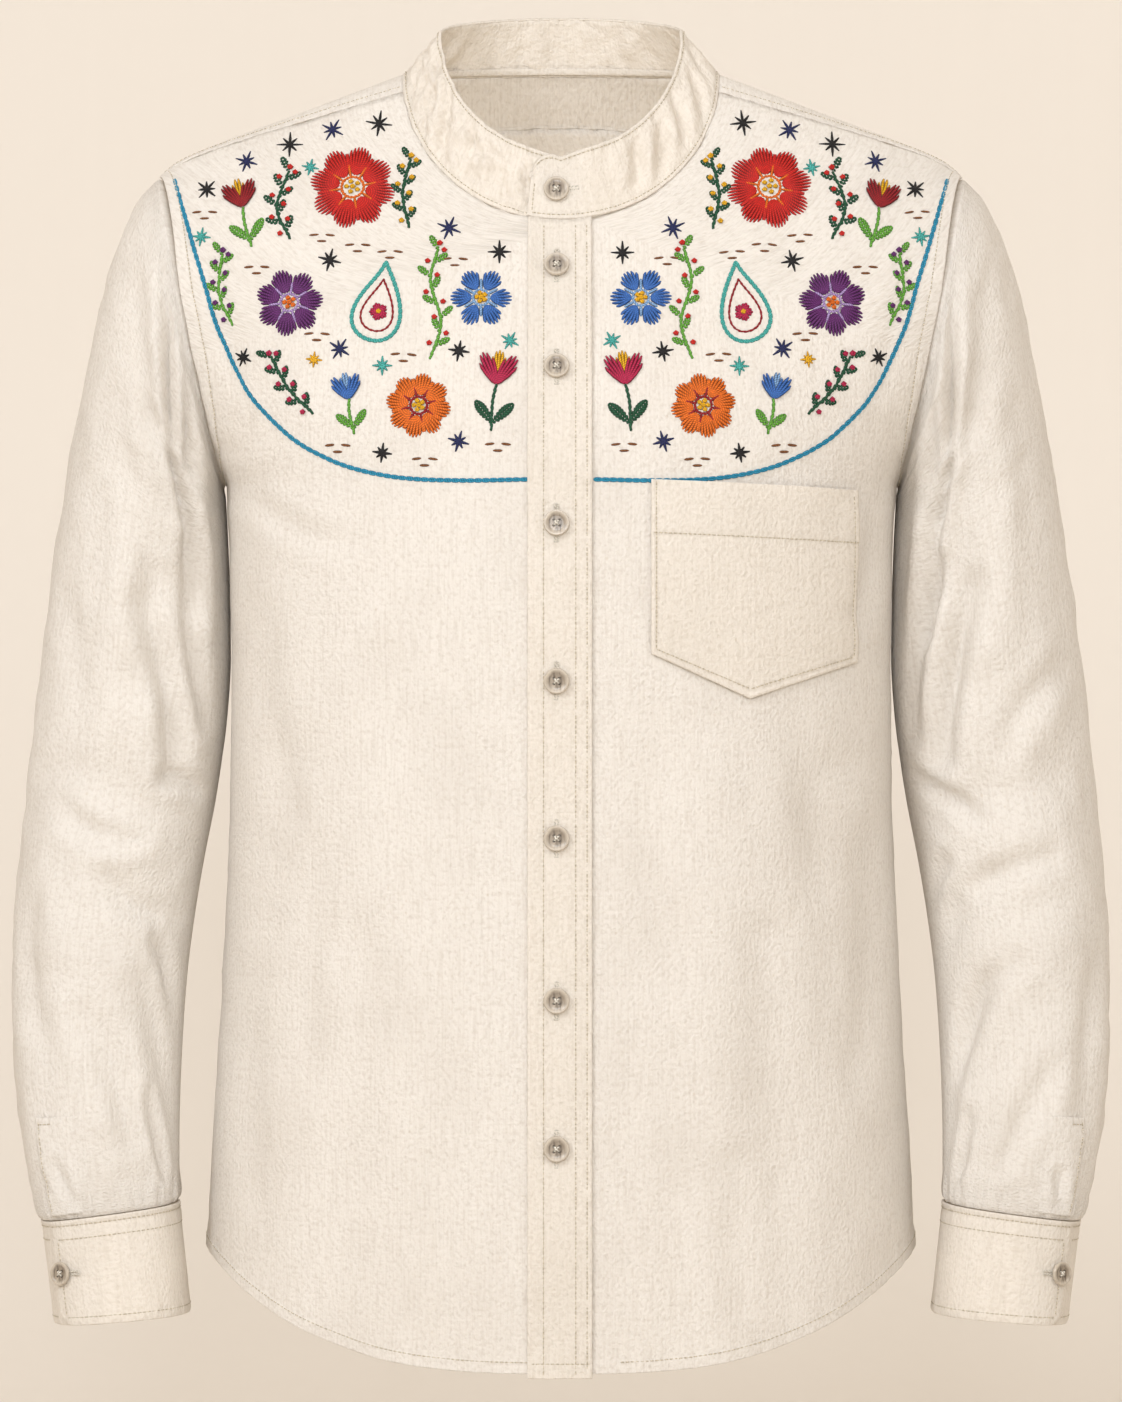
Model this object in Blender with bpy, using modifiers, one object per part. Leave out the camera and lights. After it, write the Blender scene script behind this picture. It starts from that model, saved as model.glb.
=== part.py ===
"""Embroidered band-collar shirt, modelled hollow and filled out as it is worn.

The file models in metres with +Z up. The front faces -Y, and the wearer's left is +X.
The sizes below are millimetres, and a mesh turns them to metres when it is made.
The origin is midway between the two points where the neck seam crosses the shoulder line,
on the level that the shoulders carry.
"""
import math
from collections import namedtuple

import bpy
from mathutils import Vector

OBJECT_NAME = "embroidered_shirt"
METRES_PER_MM = 0.001

# Cloth and how its layers lie
CLOTH_WALL = 1.3          # one layer of shirting with its turned edge
BAND_WALL = 1.6           # two layers: collar band, cuffs, placket
SEAM_GAP = 0.3
LAYER_GAP = 0.5
EDGE_SETBACK = 0.42       # each side of a seam where the walls lean towards each other
YOKE_SETBACK = 1.2        # over the shoulder, where they lean the most
COLLAR_SETBACK = 0.9

# Body: level sections that are rounded between the side and the middle
SIDE_POWER = 2.3
DEPTH_POWER = 2.4
NECK_HALF_WIDTH = 89.0
NECK_SIDE_HEIGHT = 5.4
NECK_FRONT_DROP = 87.0
NECK_BACK_RISE = 4.1

# Armhole: a tilted ellipse from the shoulder tip down to the armpit
TIP_OUT = 226.0
TIP_HEIGHT = -52.0
ARMPIT_OUT = 189.0
ARMPIT_HEIGHT = -227.0
ARMHOLE_FRONT_REACH = 62.0
ARMHOLE_BACK_REACH = 66.0

# Hem: lowest in the middle and raised at the side seams
HEM_MIDDLE = -714.0
HEM_SIDE_RISE = 61.0
HEM_SIDE_OUT = 199.5
HEM_CURVE_POWER = 3.1

# Yoke seams
YOKE_BACK_MIDDLE = -18.0
YOKE_BACK_SIDE = -100.0
YOKE_BACK_POWER = 2.2

# Placket: a strip on the left front, over the right front
PLACKET_FREE_EDGE = -18.3
PLACKET_SEWN_EDGE = 17.0
PLACKET_EXTRA_LENGTH = 2.5
FRONT_LEFT_EDGE = 14.3
FRONT_RIGHT_EDGE = 13.7

# Pocket
POCKET_INNER = 49.0
POCKET_OUTER = 163.0
POCKET_TOP = -227.0
POCKET_TOP_TILT = -4.5
POCKET_CORNER = -322.0
POCKET_POINT = -344.5
POCKET_POINT_OUT = 103.0
POCKET_LIFT = 2.4

# Collar band
RIM_HALF_WIDTH = 67.5
RIM_SIDE_HEIGHT = 30.0
RIM_FRONT_DROP = 76.5
RIM_BACK_RISE = 13.0
RIM_MIDDLE_DEPTH = -6.0
RIM_HALF_DEPTH = 54.0
RIM_DIP_SHARE = 0.06
RIM_DIP_ANGLE = 10.0
COLLAR_TOP_END = -12.2
COLLAR_UNDER_END = 369.0
COLLAR_TAB_CORNER = 16.0
COLLAR_ROWS = 3
COLLAR_STEPS = 34
COLLAR_OVER_END = 10.0    # angle where the top layer starts to come down to its base
COLLAR_UNDER_START = 325.0
COLLAR_LAYER_RUN = 22.0   # angle over which a layer rises or comes down

# Cuff
CUFF_EDGE_ANGLE = 40.0
CUFF_OVERLAP_ANGLE = 44.0
CUFF_CORNER = 8.0
CUFF_ROWS = 3
CUFF_STEPS = 34
CUFF_UNDER_LEAD = 55.0    # angle before the free end where the under layer starts to sink
CUFF_LAYER_RUN = 40.0

# Strip over the sleeve slit
SLIT_STRIP_ANGLES = (47.0, 85.0)
SLIT_STRIP_ROWS = (13.75, 15.85)
SLIT_STRIP_LIFT = 1.75

# Buttons
BUTTON_RADIUS = 7.1
CUFF_BUTTON_RADIUS = 6.6
BUTTON_THICK = 2.6
BUTTON_RIM = 1.5
BUTTON_DISH = 0.7
BUTTON_STEPS = 20
BUTTON_SEAT = 0.4
BUTTON_OUT = -2.4
BUTTON_HEIGHTS = (-109.0, -165.5, -251.0, -337.0, -423.0, -511.5, -592.0)
COLLAR_BUTTON_SHARE = 0.46
COLLAR_BUTTON_ANGLE = -2.0
CUFF_BUTTON_ANGLE = 50.0
CUFF_BUTTON_SHARE = 0.5

# Grid sizes
COLUMNS = 11
LOWER_ROWS = 12
FRONT_EDGE_STEPS = 6
FRONT_ARMHOLE_STEPS = 13
BACK_ARMHOLE_STEPS = 9
YOKE_ARMHOLE_STEPS = 6
SLEEVE_RINGS = 20

BodyLevel = namedtuple("BodyLevel", "height front back")
BODY_DEPTHS = (
    BodyLevel(12.0, 12.0, 50.0),
    BodyLevel(5.0, 16.0, 56.0),
    BodyLevel(-5.0, 22.0, 63.0),
    BodyLevel(-20.0, 31.0, 73.0),
    BodyLevel(-40.0, 43.0, 83.0),
    BodyLevel(-60.0, 56.0, 91.0),
    BodyLevel(-82.0, 70.0, 98.0),
    BodyLevel(-105.0, 82.0, 105.0),
    BodyLevel(-145.0, 100.0, 113.5),
    BodyLevel(-190.0, 115.0, 118.5),
    BodyLevel(-227.0, 121.0, 119.5),
    BodyLevel(-290.0, 124.0, 116.0),
    BodyLevel(-370.0, 123.0, 111.0),
    BodyLevel(-450.0, 124.5, 114.0),
    BodyLevel(-540.0, 128.0, 122.0),
    BodyLevel(-653.0, 132.5, 131.0),
    BodyLevel(-720.0, 136.0, 135.0),
)

SideLevel = namedtuple("SideLevel", "height out")
SIDE_SEAM = (
    SideLevel(-227.0, 189.0),
    SideLevel(-258.0, 187.4),
    SideLevel(-300.0, 186.2),
    SideLevel(-345.0, 186.0),
    SideLevel(-425.0, 187.2),
    SideLevel(-490.0, 190.2),
    SideLevel(-550.0, 193.6),
    SideLevel(-605.0, 197.0),
    SideLevel(-653.0, 199.5),
    SideLevel(-720.0, 202.0),
)
SHOULDER_LINE = (
    SideLevel(5.4, 89.0),
    SideLevel(-10.0, 129.7),
    SideLevel(-24.0, 166.8),
    SideLevel(-36.5, 200.0),
    SideLevel(-43.8, 215.5),
    SideLevel(-52.0, 226.0),
)

SeamDrop = namedtuple("SeamDrop", "out drop")
YOKE_FRONT_DROPS = (SeamDrop(88.0, 11.0), SeamDrop(173.0, 4.5), SeamDrop(226.0, 2.0))

# A fold is a soft trough, or a ridge where its depth is negative
BodyFold = namedtuple("BodyFold", "start_out start_height end_out end_height width depth")
FRONT_FOLDS = (
    BodyFold(150.0, -385.0, 158.0, -540.0, 20.0, 3.4),
    BodyFold(112.0, -480.0, 122.0, -730.0, 17.0, 3.2),
    BodyFold(60.0, -560.0, 66.0, -730.0, 15.0, 2.0),
    BodyFold(86.0, -400.0, 92.0, -580.0, 22.0, -2.2),
)
BACK_FOLDS = (
    BodyFold(58.0, -190.0, 52.0, -520.0, 17.0, 4.4),
    BodyFold(116.0, -250.0, 104.0, -560.0, 20.0, 4.0),
    BodyFold(84.0, -470.0, 92.0, -730.0, 17.0, -3.0),
    BodyFold(0.0, -300.0, 0.0, -640.0, 20.0, 2.6),
    BodyFold(176.0, -236.0, 112.0, -286.0, 12.0, 3.0),
    BodyFold(146.0, -150.0, 120.0, -215.0, 14.0, 2.4),
)

SleeveRow = namedtuple("SleeveRow", "outer_x outer_z inner_x inner_z middle_y half_depth power")
SLEEVE_TABLE = (
    SleeveRow(226.5, -52.65, 190.3, -226.5, 2.0, 64.0, 2.0),
    SleeveRow(237.5, -66.0, 190.6, -229.6, 2.0, 65.5, 2.0),
    SleeveRow(251.0, -99.0, 190.6, -233.6, 2.0, 66.0, 2.0),
    SleeveRow(262.5, -136.0, 190.6, -239.5, 3.0, 65.0, 2.05),
    SleeveRow(271.5, -178.0, 190.4, -249.0, 4.0, 63.5, 2.1),
    SleeveRow(278.5, -217.0, 190.2, -265.0, 5.0, 62.0, 2.1),
    SleeveRow(285.5, -261.0, 190.0, -292.0, 6.0, 60.5, 2.1),
    SleeveRow(291.8, -309.0, 190.0, -330.0, 6.0, 58.5, 2.1),
    SleeveRow(297.5, -355.0, 190.6, -368.0, 5.0, 57.0, 2.1),
    SleeveRow(302.0, -399.0, 195.0, -402.0, 3.0, 56.0, 2.1),
    SleeveRow(306.0, -440.0, 201.6, -437.0, -1.0, 54.0, 2.15),
    SleeveRow(308.3, -478.0, 206.8, -470.0, -6.0, 51.5, 2.2),
    SleeveRow(308.8, -512.0, 210.6, -503.0, -12.0, 49.0, 2.2),
    SleeveRow(307.6, -549.0, 213.0, -543.0, -19.0, 46.5, 2.25),
    SleeveRow(302.8, -590.0, 214.0, -583.0, -26.5, 43.5, 2.3),
    SleeveRow(296.5, -620.0, 213.8, -610.0, -31.5, 40.5, 2.45),
    SleeveRow(291.2, -637.6, 213.6, -627.2, -35.0, 38.2, 2.6),
)

SleeveFold = namedtuple("SleeveFold", "start_angle start_row end_angle end_row width depth")
SLEEVE_FOLDS = (
    SleeveFold(56.0, 1.8, 90.0, 3.2, 13.0, 3.6),
    SleeveFold(90.0, 3.2, 108.0, 6.0, 13.0, 5.0),
    SleeveFold(108.0, 6.0, 132.0, 8.4, 13.0, 4.6),
    SleeveFold(62.0, 8.7, 132.0, 9.2, 15.0, 4.6),
    SleeveFold(108.0, 10.3, 166.0, 11.5, 14.0, 4.8),
    SleeveFold(70.0, 11.2, 112.0, 12.0, 15.0, -3.0),
    SleeveFold(120.0, 12.0, 168.0, 14.0, 13.0, 4.4),
    SleeveFold(300.0, 2.0, 262.0, 5.0, 14.0, 4.2),
    SleeveFold(250.0, 6.0, 232.0, 8.6, 14.0, 4.4),
    SleeveFold(296.0, 9.0, 222.0, 9.7, 15.0, 4.6),
    SleeveFold(262.0, 11.2, 208.0, 12.2, 14.0, 4.0),
    SleeveFold(300.0, 12.4, 250.0, 14.2, 13.0, 3.4),
)
SLEEVE_FOLD_RADIUS = 52.0
SLEEVE_ROW_LENGTH = 38.0
CAP_FULLNESS = 2.2
FOLD_FADE_DEPTH = 45.0    # folds fade out this near to the side seams
SEAM_SHAPING_START = 0.6  # share of the armhole above which rows turn to the yoke's seam
FULL_SPREAD_RISE = 1.6    # how soon the columns become even above the armpit
BACK_SEAM_POWER = 4       # keeps the back's rows level until near the armhole
YOKE_SHAPED_ROWS = 3.0


def smooth_value(places, values, place):
    """Value at a place on a smooth curve through table values, with the ends held."""
    if places[0] > places[-1]:
        places = [-entry for entry in places]
        place = -place
    if place <= places[0]:
        return values[0]
    if place >= places[-1]:
        return values[-1]
    index = 0
    while place > places[index + 1]:
        index += 1
    before = max(index - 1, 0)
    after = min(index + 2, len(places) - 1)
    step = places[index + 1] - places[index]
    start_slope = (values[index + 1] - values[before]) / (places[index + 1] - places[before])
    end_slope = (values[after] - values[index]) / (places[after] - places[index])
    share = (place - places[index]) / step
    rest = 1.0 - share
    return (values[index] * rest * rest * (1.0 + 2.0 * share)
            + values[index + 1] * share * share * (3.0 - 2.0 * share)
            + step * start_slope * share * rest * rest
            - step * end_slope * share * share * rest)


def column(rows, name):
    """One named column of a table."""
    return [getattr(row, name) for row in rows]


DEPTH_HEIGHTS = column(BODY_DEPTHS, "height")
DEPTH_VALUES = {"front": column(BODY_DEPTHS, "front"), "back": column(BODY_DEPTHS, "back")}
SIDE_HEIGHTS = column(SIDE_SEAM, "height")
SIDE_OUTS = column(SIDE_SEAM, "out")
SHOULDER_HEIGHTS = column(SHOULDER_LINE, "height")
SHOULDER_OUTS = column(SHOULDER_LINE, "out")
REACHES = {"front": ARMHOLE_FRONT_REACH, "back": ARMHOLE_BACK_REACH}
FOLDS = {"front": FRONT_FOLDS, "back": BACK_FOLDS}
ARMHOLE_MIDDLE = (TIP_HEIGHT + ARMPIT_HEIGHT) / 2.0
ARMHOLE_HALF_HEIGHT = (TIP_HEIGHT - ARMPIT_HEIGHT) / 2.0


def mix(start, end, share):
    """A value part of the way from start to end."""
    return start + (end - start) * share


def smooth_step(share):
    """An eased share between 0 and 1."""
    share = min(max(share, 0.0), 1.0)
    return share * share * (3.0 - 2.0 * share)


def add(point, direction, length):
    """A point moved along a direction."""
    return tuple(place + way * length for place, way in zip(point, direction))


def unit(vector):
    """A vector of length one."""
    length = math.sqrt(sum(part * part for part in vector))
    return tuple(part / length for part in vector)


def armhole_out(height):
    """How far out the armhole seam lies at a height."""
    return mix(ARMPIT_OUT, TIP_OUT, (height - ARMPIT_HEIGHT) / (TIP_HEIGHT - ARMPIT_HEIGHT))


def body_section(height, face):
    """Half width, depth and rounding share of the level section at a height."""
    depth = smooth_value(DEPTH_HEIGHTS, DEPTH_VALUES[face], height)
    if height >= TIP_HEIGHT:
        return smooth_value(SHOULDER_HEIGHTS, SHOULDER_OUTS, height), depth, 1.0
    if height <= ARMPIT_HEIGHT:
        return smooth_value(SIDE_HEIGHTS, SIDE_OUTS, height), depth, 1.0
    level = (height - ARMHOLE_MIDDLE) / ARMHOLE_HALF_HEIGHT
    reach = REACHES[face] * math.sqrt(max(1.0 - level * level, 0.0))
    return armhole_out(height), depth, 1.0 - (reach / depth) ** DEPTH_POWER


def body_excess(x, y, height, face):
    """Below 0 inside the body's form, 0 on it and above 0 outside."""
    half_width, depth, share = body_section(height, face)
    return share * (abs(x) / half_width) ** SIDE_POWER + (abs(y) / depth) ** DEPTH_POWER - 1.0


def body_y(x, height, face):
    """Where the body's form lies, front or back, at a place seen from the front."""
    half_width, depth, share = body_section(height, face)
    rest = max(1.0 - share * (abs(x) / half_width) ** SIDE_POWER, 0.0)
    y = depth * rest ** (1.0 / DEPTH_POWER)
    return -y if face == "front" else y


def body_normal(x, y, height, face):
    """Outward direction of the body's form."""
    half_width, depth, share = body_section(height, face)
    step = 1.5
    along_x = share * SIDE_POWER * abs(x) ** (SIDE_POWER - 1.0) / half_width ** SIDE_POWER
    along_y = DEPTH_POWER * abs(y) ** (DEPTH_POWER - 1.0) / depth ** DEPTH_POWER
    above = body_excess(x, y, height + step, face)
    below = body_excess(x, y, height - step, face)
    turned = (math.copysign(along_x, x), -along_y if face == "front" else along_y,
              (above - below) / (2.0 * step))
    return unit(turned)


def segment_distance(place, start, end):
    """Distance from a place to a segment."""
    run = (end[0] - start[0], end[1] - start[1])
    length = math.hypot(*run)
    share = ((place[0] - start[0]) * run[0] + (place[1] - start[1]) * run[1]) / (length * length)
    held = min(max(share, 0.0), 1.0)
    nearest = (start[0] + run[0] * held, start[1] + run[1] * held)
    return math.hypot(place[0] - nearest[0], place[1] - nearest[1])


def fold_press(distance, width, depth):
    """How far a fold moves the cloth outward at a distance from its line."""
    return -depth * math.exp(-(distance / width) ** 2)


def body_press(x, y, height, face):
    """Outward movement of the cloth from the body's folds, none at the side seams."""
    moved = 0.0
    for fold in FOLDS[face]:
        distance = segment_distance((abs(x), height), (fold.start_out, fold.start_height),
                                    (fold.end_out, fold.end_height))
        moved += fold_press(distance, fold.width, fold.depth)
    return moved * smooth_step(abs(y) / FOLD_FADE_DEPTH)


def body_point(x, height, face, lift=0.0):
    """A point of the cloth seen from the front or the back, lifted off it if asked."""
    y = body_y(x, height, face)
    normal = body_normal(x, y, height, face)
    return add((x, y, height), normal, body_press(x, y, height, face) + lift)


def top_height(x, y):
    """Height of the body's form over a place in plan, for the shoulders."""
    face = "front" if y < 0.0 else "back"
    low = -150.0
    high = NECK_SIDE_HEIGHT + NECK_BACK_RISE + 1.0
    for _ in range(40):
        middle = (low + high) / 2.0
        if body_excess(x, y, middle, face) > 0.0:
            high = middle
        else:
            low = middle
    return (low + high) / 2.0


def armhole_point(angle):
    """Armhole seam on the left side: 0 at the tip, 90 in front, 180 at the armpit."""
    turn = math.radians(angle)
    height = ARMHOLE_MIDDLE + ARMHOLE_HALF_HEIGHT * math.cos(turn)
    reach = ARMHOLE_FRONT_REACH if math.sin(turn) >= 0.0 else ARMHOLE_BACK_REACH
    return armhole_out(height), -reach * math.sin(turn), height


def height_angle(height):
    """Angle round the armhole of a height, counted from the tip."""
    return math.degrees(math.acos((height - ARMHOLE_MIDDLE) / ARMHOLE_HALF_HEIGHT))


def shoulder_height(out):
    """Height of the shoulder line at a distance from the middle."""
    return smooth_value(SHOULDER_OUTS, SHOULDER_HEIGHTS, out)


def yoke_front_height(out):
    """Height of the yoke's front seam, which lies forward of the shoulder line."""
    drop = smooth_value(column(YOKE_FRONT_DROPS, "out"), column(YOKE_FRONT_DROPS, "drop"), out)
    return shoulder_height(out) - drop


def yoke_back_height(out):
    """Height of the yoke's back seam."""
    share = (abs(out) / armhole_out(YOKE_BACK_SIDE)) ** YOKE_BACK_POWER
    return mix(YOKE_BACK_MIDDLE, YOKE_BACK_SIDE, share)


def hem_height(out):
    """Height of the shirt-tail hem."""
    return HEM_MIDDLE + HEM_SIDE_RISE * (abs(out) / HEM_SIDE_OUT) ** HEM_CURVE_POWER


def neck_place(angle):
    """Neck seam seen from the front: 0 at the front, 90 at the left side, 180 at the back."""
    turn = math.radians(angle)
    travel = NECK_FRONT_DROP if math.cos(turn) > 0.0 else NECK_BACK_RISE
    return NECK_HALF_WIDTH * math.sin(turn), NECK_SIDE_HEIGHT - travel * math.cos(turn)


def neck_point(angle):
    """Neck seam on the body's form."""
    out, height = neck_place(angle)
    face = "front" if math.cos(math.radians(angle)) > 0.0 else "back"
    return out, body_y(out, height, face), height


YOKE_FRONT_ANGLE = math.degrees(math.acos((NECK_SIDE_HEIGHT - yoke_front_height(88.3))
                                          / NECK_FRONT_DROP))
TIP_FRONT_ANGLE = height_angle(yoke_front_height(TIP_OUT - 0.4))
YOKE_BACK_ANGLE = 360.0 - height_angle(YOKE_BACK_SIDE)


def armhole_angles():
    """Angles round the armhole at which every piece that meets it has a point."""
    front = [mix(TIP_FRONT_ANGLE, 180.0, step / FRONT_ARMHOLE_STEPS)
             for step in range(FRONT_ARMHOLE_STEPS)]
    back = [mix(180.0, YOKE_BACK_ANGLE, step / BACK_ARMHOLE_STEPS)
            for step in range(BACK_ARMHOLE_STEPS)]
    top = [mix(YOKE_BACK_ANGLE, 360.0 + TIP_FRONT_ANGLE, step / YOKE_ARMHOLE_STEPS)
           for step in range(YOKE_ARMHOLE_STEPS)]
    return front + back + top


def grid_mesh(name, rows, closed=False, flipped=False):
    """Mesh of quads through rows of points given in millimetres."""
    width = len(rows[0])
    points = [tuple(value * METRES_PER_MM for value in point) for row in rows for point in row]
    faces = []
    for row in range(len(rows) - 1):
        for place in range(width if closed else width - 1):
            following = (place + 1) % width
            face = (row * width + place, row * width + following,
                    (row + 1) * width + following, (row + 1) * width + place)
            faces.append(tuple(reversed(face)) if flipped else face)
    mesh = bpy.data.meshes.new(name)
    mesh.from_pydata(points, [], faces)
    mesh.validate()
    mesh.shade_smooth()
    return mesh


def make_material(name, colour, roughness, metallic=0.0):
    """Principled material with the piece's colour, roughness and metallic value."""
    material = bpy.data.materials.new(name)
    material.use_nodes = True
    shader = material.node_tree.nodes["Principled BSDF"]
    shader.inputs["Base Color"].default_value = (*colour, 1.0)
    shader.inputs["Roughness"].default_value = roughness
    shader.inputs["Metallic"].default_value = metallic
    return material


def place_object(name, mesh, material, collection):
    """Object of a mesh with its material, in the shirt's collection."""
    mesh.materials.append(material)
    placed = bpy.data.objects.new(name, mesh)
    collection.objects.link(placed)
    return placed


def thicken(placed, wall):
    """Give a sheet its thickness, inward from the outer face."""
    solidify = placed.modifiers.new("wall", "SOLIDIFY")
    solidify.thickness = wall * METRES_PER_MM
    solidify.offset = -1.0
    solidify.use_rim = True
    return placed


def cloth_piece(name, rows, shirt, wall=CLOTH_WALL, closed=False, flipped=False):
    """A cloth wall through rows of points, as its own object."""
    mesh = grid_mesh(name, rows, closed, flipped)
    return thicken(place_object(name, mesh, shirt.cloth, shirt.collection), wall)


def mirrored(rows):
    """Rows of points seen in a mirror across the middle of the shirt."""
    return [[(-x, y, z) for x, y, z in row] for row in rows]


def lower_place(column_share, row_share, inner):
    """Place seen from the front between the hem and the armpit level."""
    level = mix(HEM_MIDDLE + HEM_SIDE_RISE, ARMPIT_HEIGHT, row_share)
    for _ in range(3):
        side = smooth_value(SIDE_HEIGHTS, SIDE_OUTS, level)
        out = mix(inner, side, column_share)
        level = mix(hem_height(out), ARMPIT_HEIGHT, row_share)
    return out, level


def inner_places(inner):
    """Upper inner edge of a front: up its front edge, then round the neck seam."""
    start_angle = math.degrees(math.asin(inner / NECK_HALF_WIDTH))
    neck_height = neck_place(start_angle)[1]
    places = []
    for step in range(FRONT_EDGE_STEPS):
        places.append((inner, mix(ARMPIT_HEIGHT, neck_height, step / FRONT_EDGE_STEPS)))
    neck_steps = FRONT_ARMHOLE_STEPS - FRONT_EDGE_STEPS
    for step in range(neck_steps + 1):
        angle = mix(start_angle, YOKE_FRONT_ANGLE, step / neck_steps)
        places.append(neck_place(angle))
    return places


def front_rows(inner):
    """Rows of points of the left front, from the hem up to the yoke's front seam."""
    rows = []
    for step in range(LOWER_ROWS):
        row = []
        for number in range(COLUMNS + 1):
            share = math.sin(number / COLUMNS * math.pi / 2.0)
            out, height = lower_place(share, step / LOWER_ROWS, inner)
            row.append(front_cloth(out, height, number == COLUMNS))
        rows.append(row)
    inners = inner_places(inner)
    for step in range(FRONT_ARMHOLE_STEPS + 1):
        rise = step / FRONT_ARMHOLE_STEPS
        outer = armhole_point(mix(180.0, TIP_FRONT_ANGLE, rise))
        row = []
        for number in range(COLUMNS + 1):
            even = number / COLUMNS
            spread = smooth_step(rise * FULL_SPREAD_RISE)
            share = mix(math.sin(even * math.pi / 2.0), even, spread)
            out = mix(inners[step][0], outer[0], share)
            height = mix(inners[step][1], outer[2], share)
            seam = yoke_front_height(max(out, inners[-1][0]))
            straight = mix(inners[-1][1], outer[2], share)
            shaping = max(rise - SEAM_SHAPING_START, 0.0) / (1.0 - SEAM_SHAPING_START)
            height += (seam - straight) * shaping
            if number == COLUMNS:
                row.append(add(outer, (0.0, -1.0, 0.0), EDGE_SETBACK if step == 0 else 0.0))
            else:
                row.append(front_cloth(out, height, False))
        rows.append(row)
    return rows


def front_cloth(out, height, at_side):
    """A front's point, held half a seam gap forward of the side seam."""
    if at_side:
        return out, -EDGE_SETBACK, height
    return body_point(out, height, "front")


class Shirt:
    """The shirt's collection and its materials."""

    def __init__(self):
        """Make the collection and the materials."""
        self.collection = bpy.data.collections.new(OBJECT_NAME)
        bpy.context.scene.collection.children.link(self.collection)
        self.cloth = make_material("ivory_cotton", (0.86, 0.79, 0.66), 0.9)
        self.horn = make_material("smoky_button", (0.38, 0.32, 0.26), 0.35)


def make_fronts(shirt):
    """The two fronts, whose front edges lie one past the other under the placket."""
    cloth_piece("front_left", front_rows(FRONT_LEFT_EDGE), shirt)
    cloth_piece("front_right", mirrored(front_rows(-FRONT_RIGHT_EDGE)), shirt, flipped=True)


def both_sides(rows):
    """Rows of the left half continued across the middle to the right side."""
    return [[(-x, y, z) for x, y, z in reversed(row[1:])] + row for row in rows]


def back_rows():
    """Rows of points of the back's left half, from the hem up to the yoke's back seam."""
    rows = []
    for step in range(LOWER_ROWS):
        row = []
        for number in range(COLUMNS + 1):
            share = math.sin(number / COLUMNS * math.pi / 2.0)
            out, height = lower_place(share, step / LOWER_ROWS, 0.0)
            at_side = number == COLUMNS
            row.append((out, EDGE_SETBACK, height) if at_side else body_point(out, height, "back"))
        rows.append(row)
    for step in range(BACK_ARMHOLE_STEPS + 1):
        rise = step / BACK_ARMHOLE_STEPS
        outer = armhole_point(mix(180.0, YOKE_BACK_ANGLE, rise))
        row = []
        for number in range(COLUMNS):
            even = number / COLUMNS
            share = mix(math.sin(even * math.pi / 2.0), even, smooth_step(rise))
            out = outer[0] * share
            height = mix(ARMPIT_HEIGHT, yoke_back_height(out), rise)
            level = mix(ARMPIT_HEIGHT, YOKE_BACK_SIDE, rise)
            height += (outer[2] - level) * share ** BACK_SEAM_POWER
            row.append(body_point(out, height, "back"))
        rows.append(row + [add(outer, (0.0, 1.0, 0.0), EDGE_SETBACK if step == 0 else 0.0)])
    return rows


def make_back(shirt):
    """The back, one piece from side seam to side seam."""
    cloth_piece("back", both_sides(back_rows()), shirt, flipped=True)


def yoke_rows():
    """Rows of the yoke's left half, from its front seam round to the middle of the back."""
    steps = YOKE_ARMHOLE_STEPS + COLUMNS
    seam = []
    for number in range(COLUMNS + 1):
        out = mix(neck_place(YOKE_FRONT_ANGLE)[0], TIP_OUT - 0.4, number / COLUMNS)
        y = body_y(out, yoke_front_height(out), "front") + YOKE_SETBACK
        seam.append((out, y, top_height(out, y)))
    rows = [seam]
    for step in range(1, steps + 1):
        turn = step / steps
        inner = neck_point(mix(YOKE_FRONT_ANGLE, 180.0, turn))
        if step <= YOKE_ARMHOLE_STEPS:
            share = step / YOKE_ARMHOLE_STEPS
            outer = armhole_point(mix(360.0 + TIP_FRONT_ANGLE, YOKE_BACK_ANGLE, share))
        else:
            share = (step - YOKE_ARMHOLE_STEPS) / COLUMNS
            out = mix(armhole_out(YOKE_BACK_SIDE), 0.0, share)
            height = yoke_back_height(out) + 2.0 * SEAM_GAP
            outer = (out, body_y(out, height, "back"), height)
        row = []
        for number in range(COLUMNS + 1):
            share = number / COLUMNS
            x = mix(inner[0], outer[0], share)
            y = mix(inner[1], outer[1], share)
            kept = max(1.0 - step / YOKE_SHAPED_ROWS, 0.0)
            x += (seam[number][0] - mix(seam[0][0], seam[-1][0], share)) * kept
            y += (seam[number][1] - mix(seam[0][1], seam[-1][1], share)) * kept
            row.append(outer if number == COLUMNS else (x, y, top_height(x, y)))
        rows.append(row)
    corner = rows[YOKE_ARMHOLE_STEPS][-1]
    rows[YOKE_ARMHOLE_STEPS][-1] = add(corner, (0.0, 0.0, 1.0), 2.0 * SEAM_GAP)
    return rows


def make_yoke(shirt):
    """The yoke, one piece over both shoulders."""
    half = yoke_rows()
    other = mirrored(half[:-1])
    cloth_piece("yoke", half + list(reversed(other)), shirt)


def rim_point(angle):
    """Top edge of the collar band."""
    turn = math.radians(angle)
    along = math.cos(turn)
    if along > 0.0:
        off_middle = abs((angle + 180.0) % 360.0 - 180.0)
        dip = 1.0 - RIM_DIP_SHARE * math.tanh(off_middle / RIM_DIP_ANGLE)
        height = RIM_SIDE_HEIGHT - RIM_FRONT_DROP * along * dip
    else:
        height = RIM_SIDE_HEIGHT - RIM_BACK_RISE * along
    return RIM_HALF_WIDTH * math.sin(turn), RIM_MIDDLE_DEPTH - RIM_HALF_DEPTH * along, height


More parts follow.
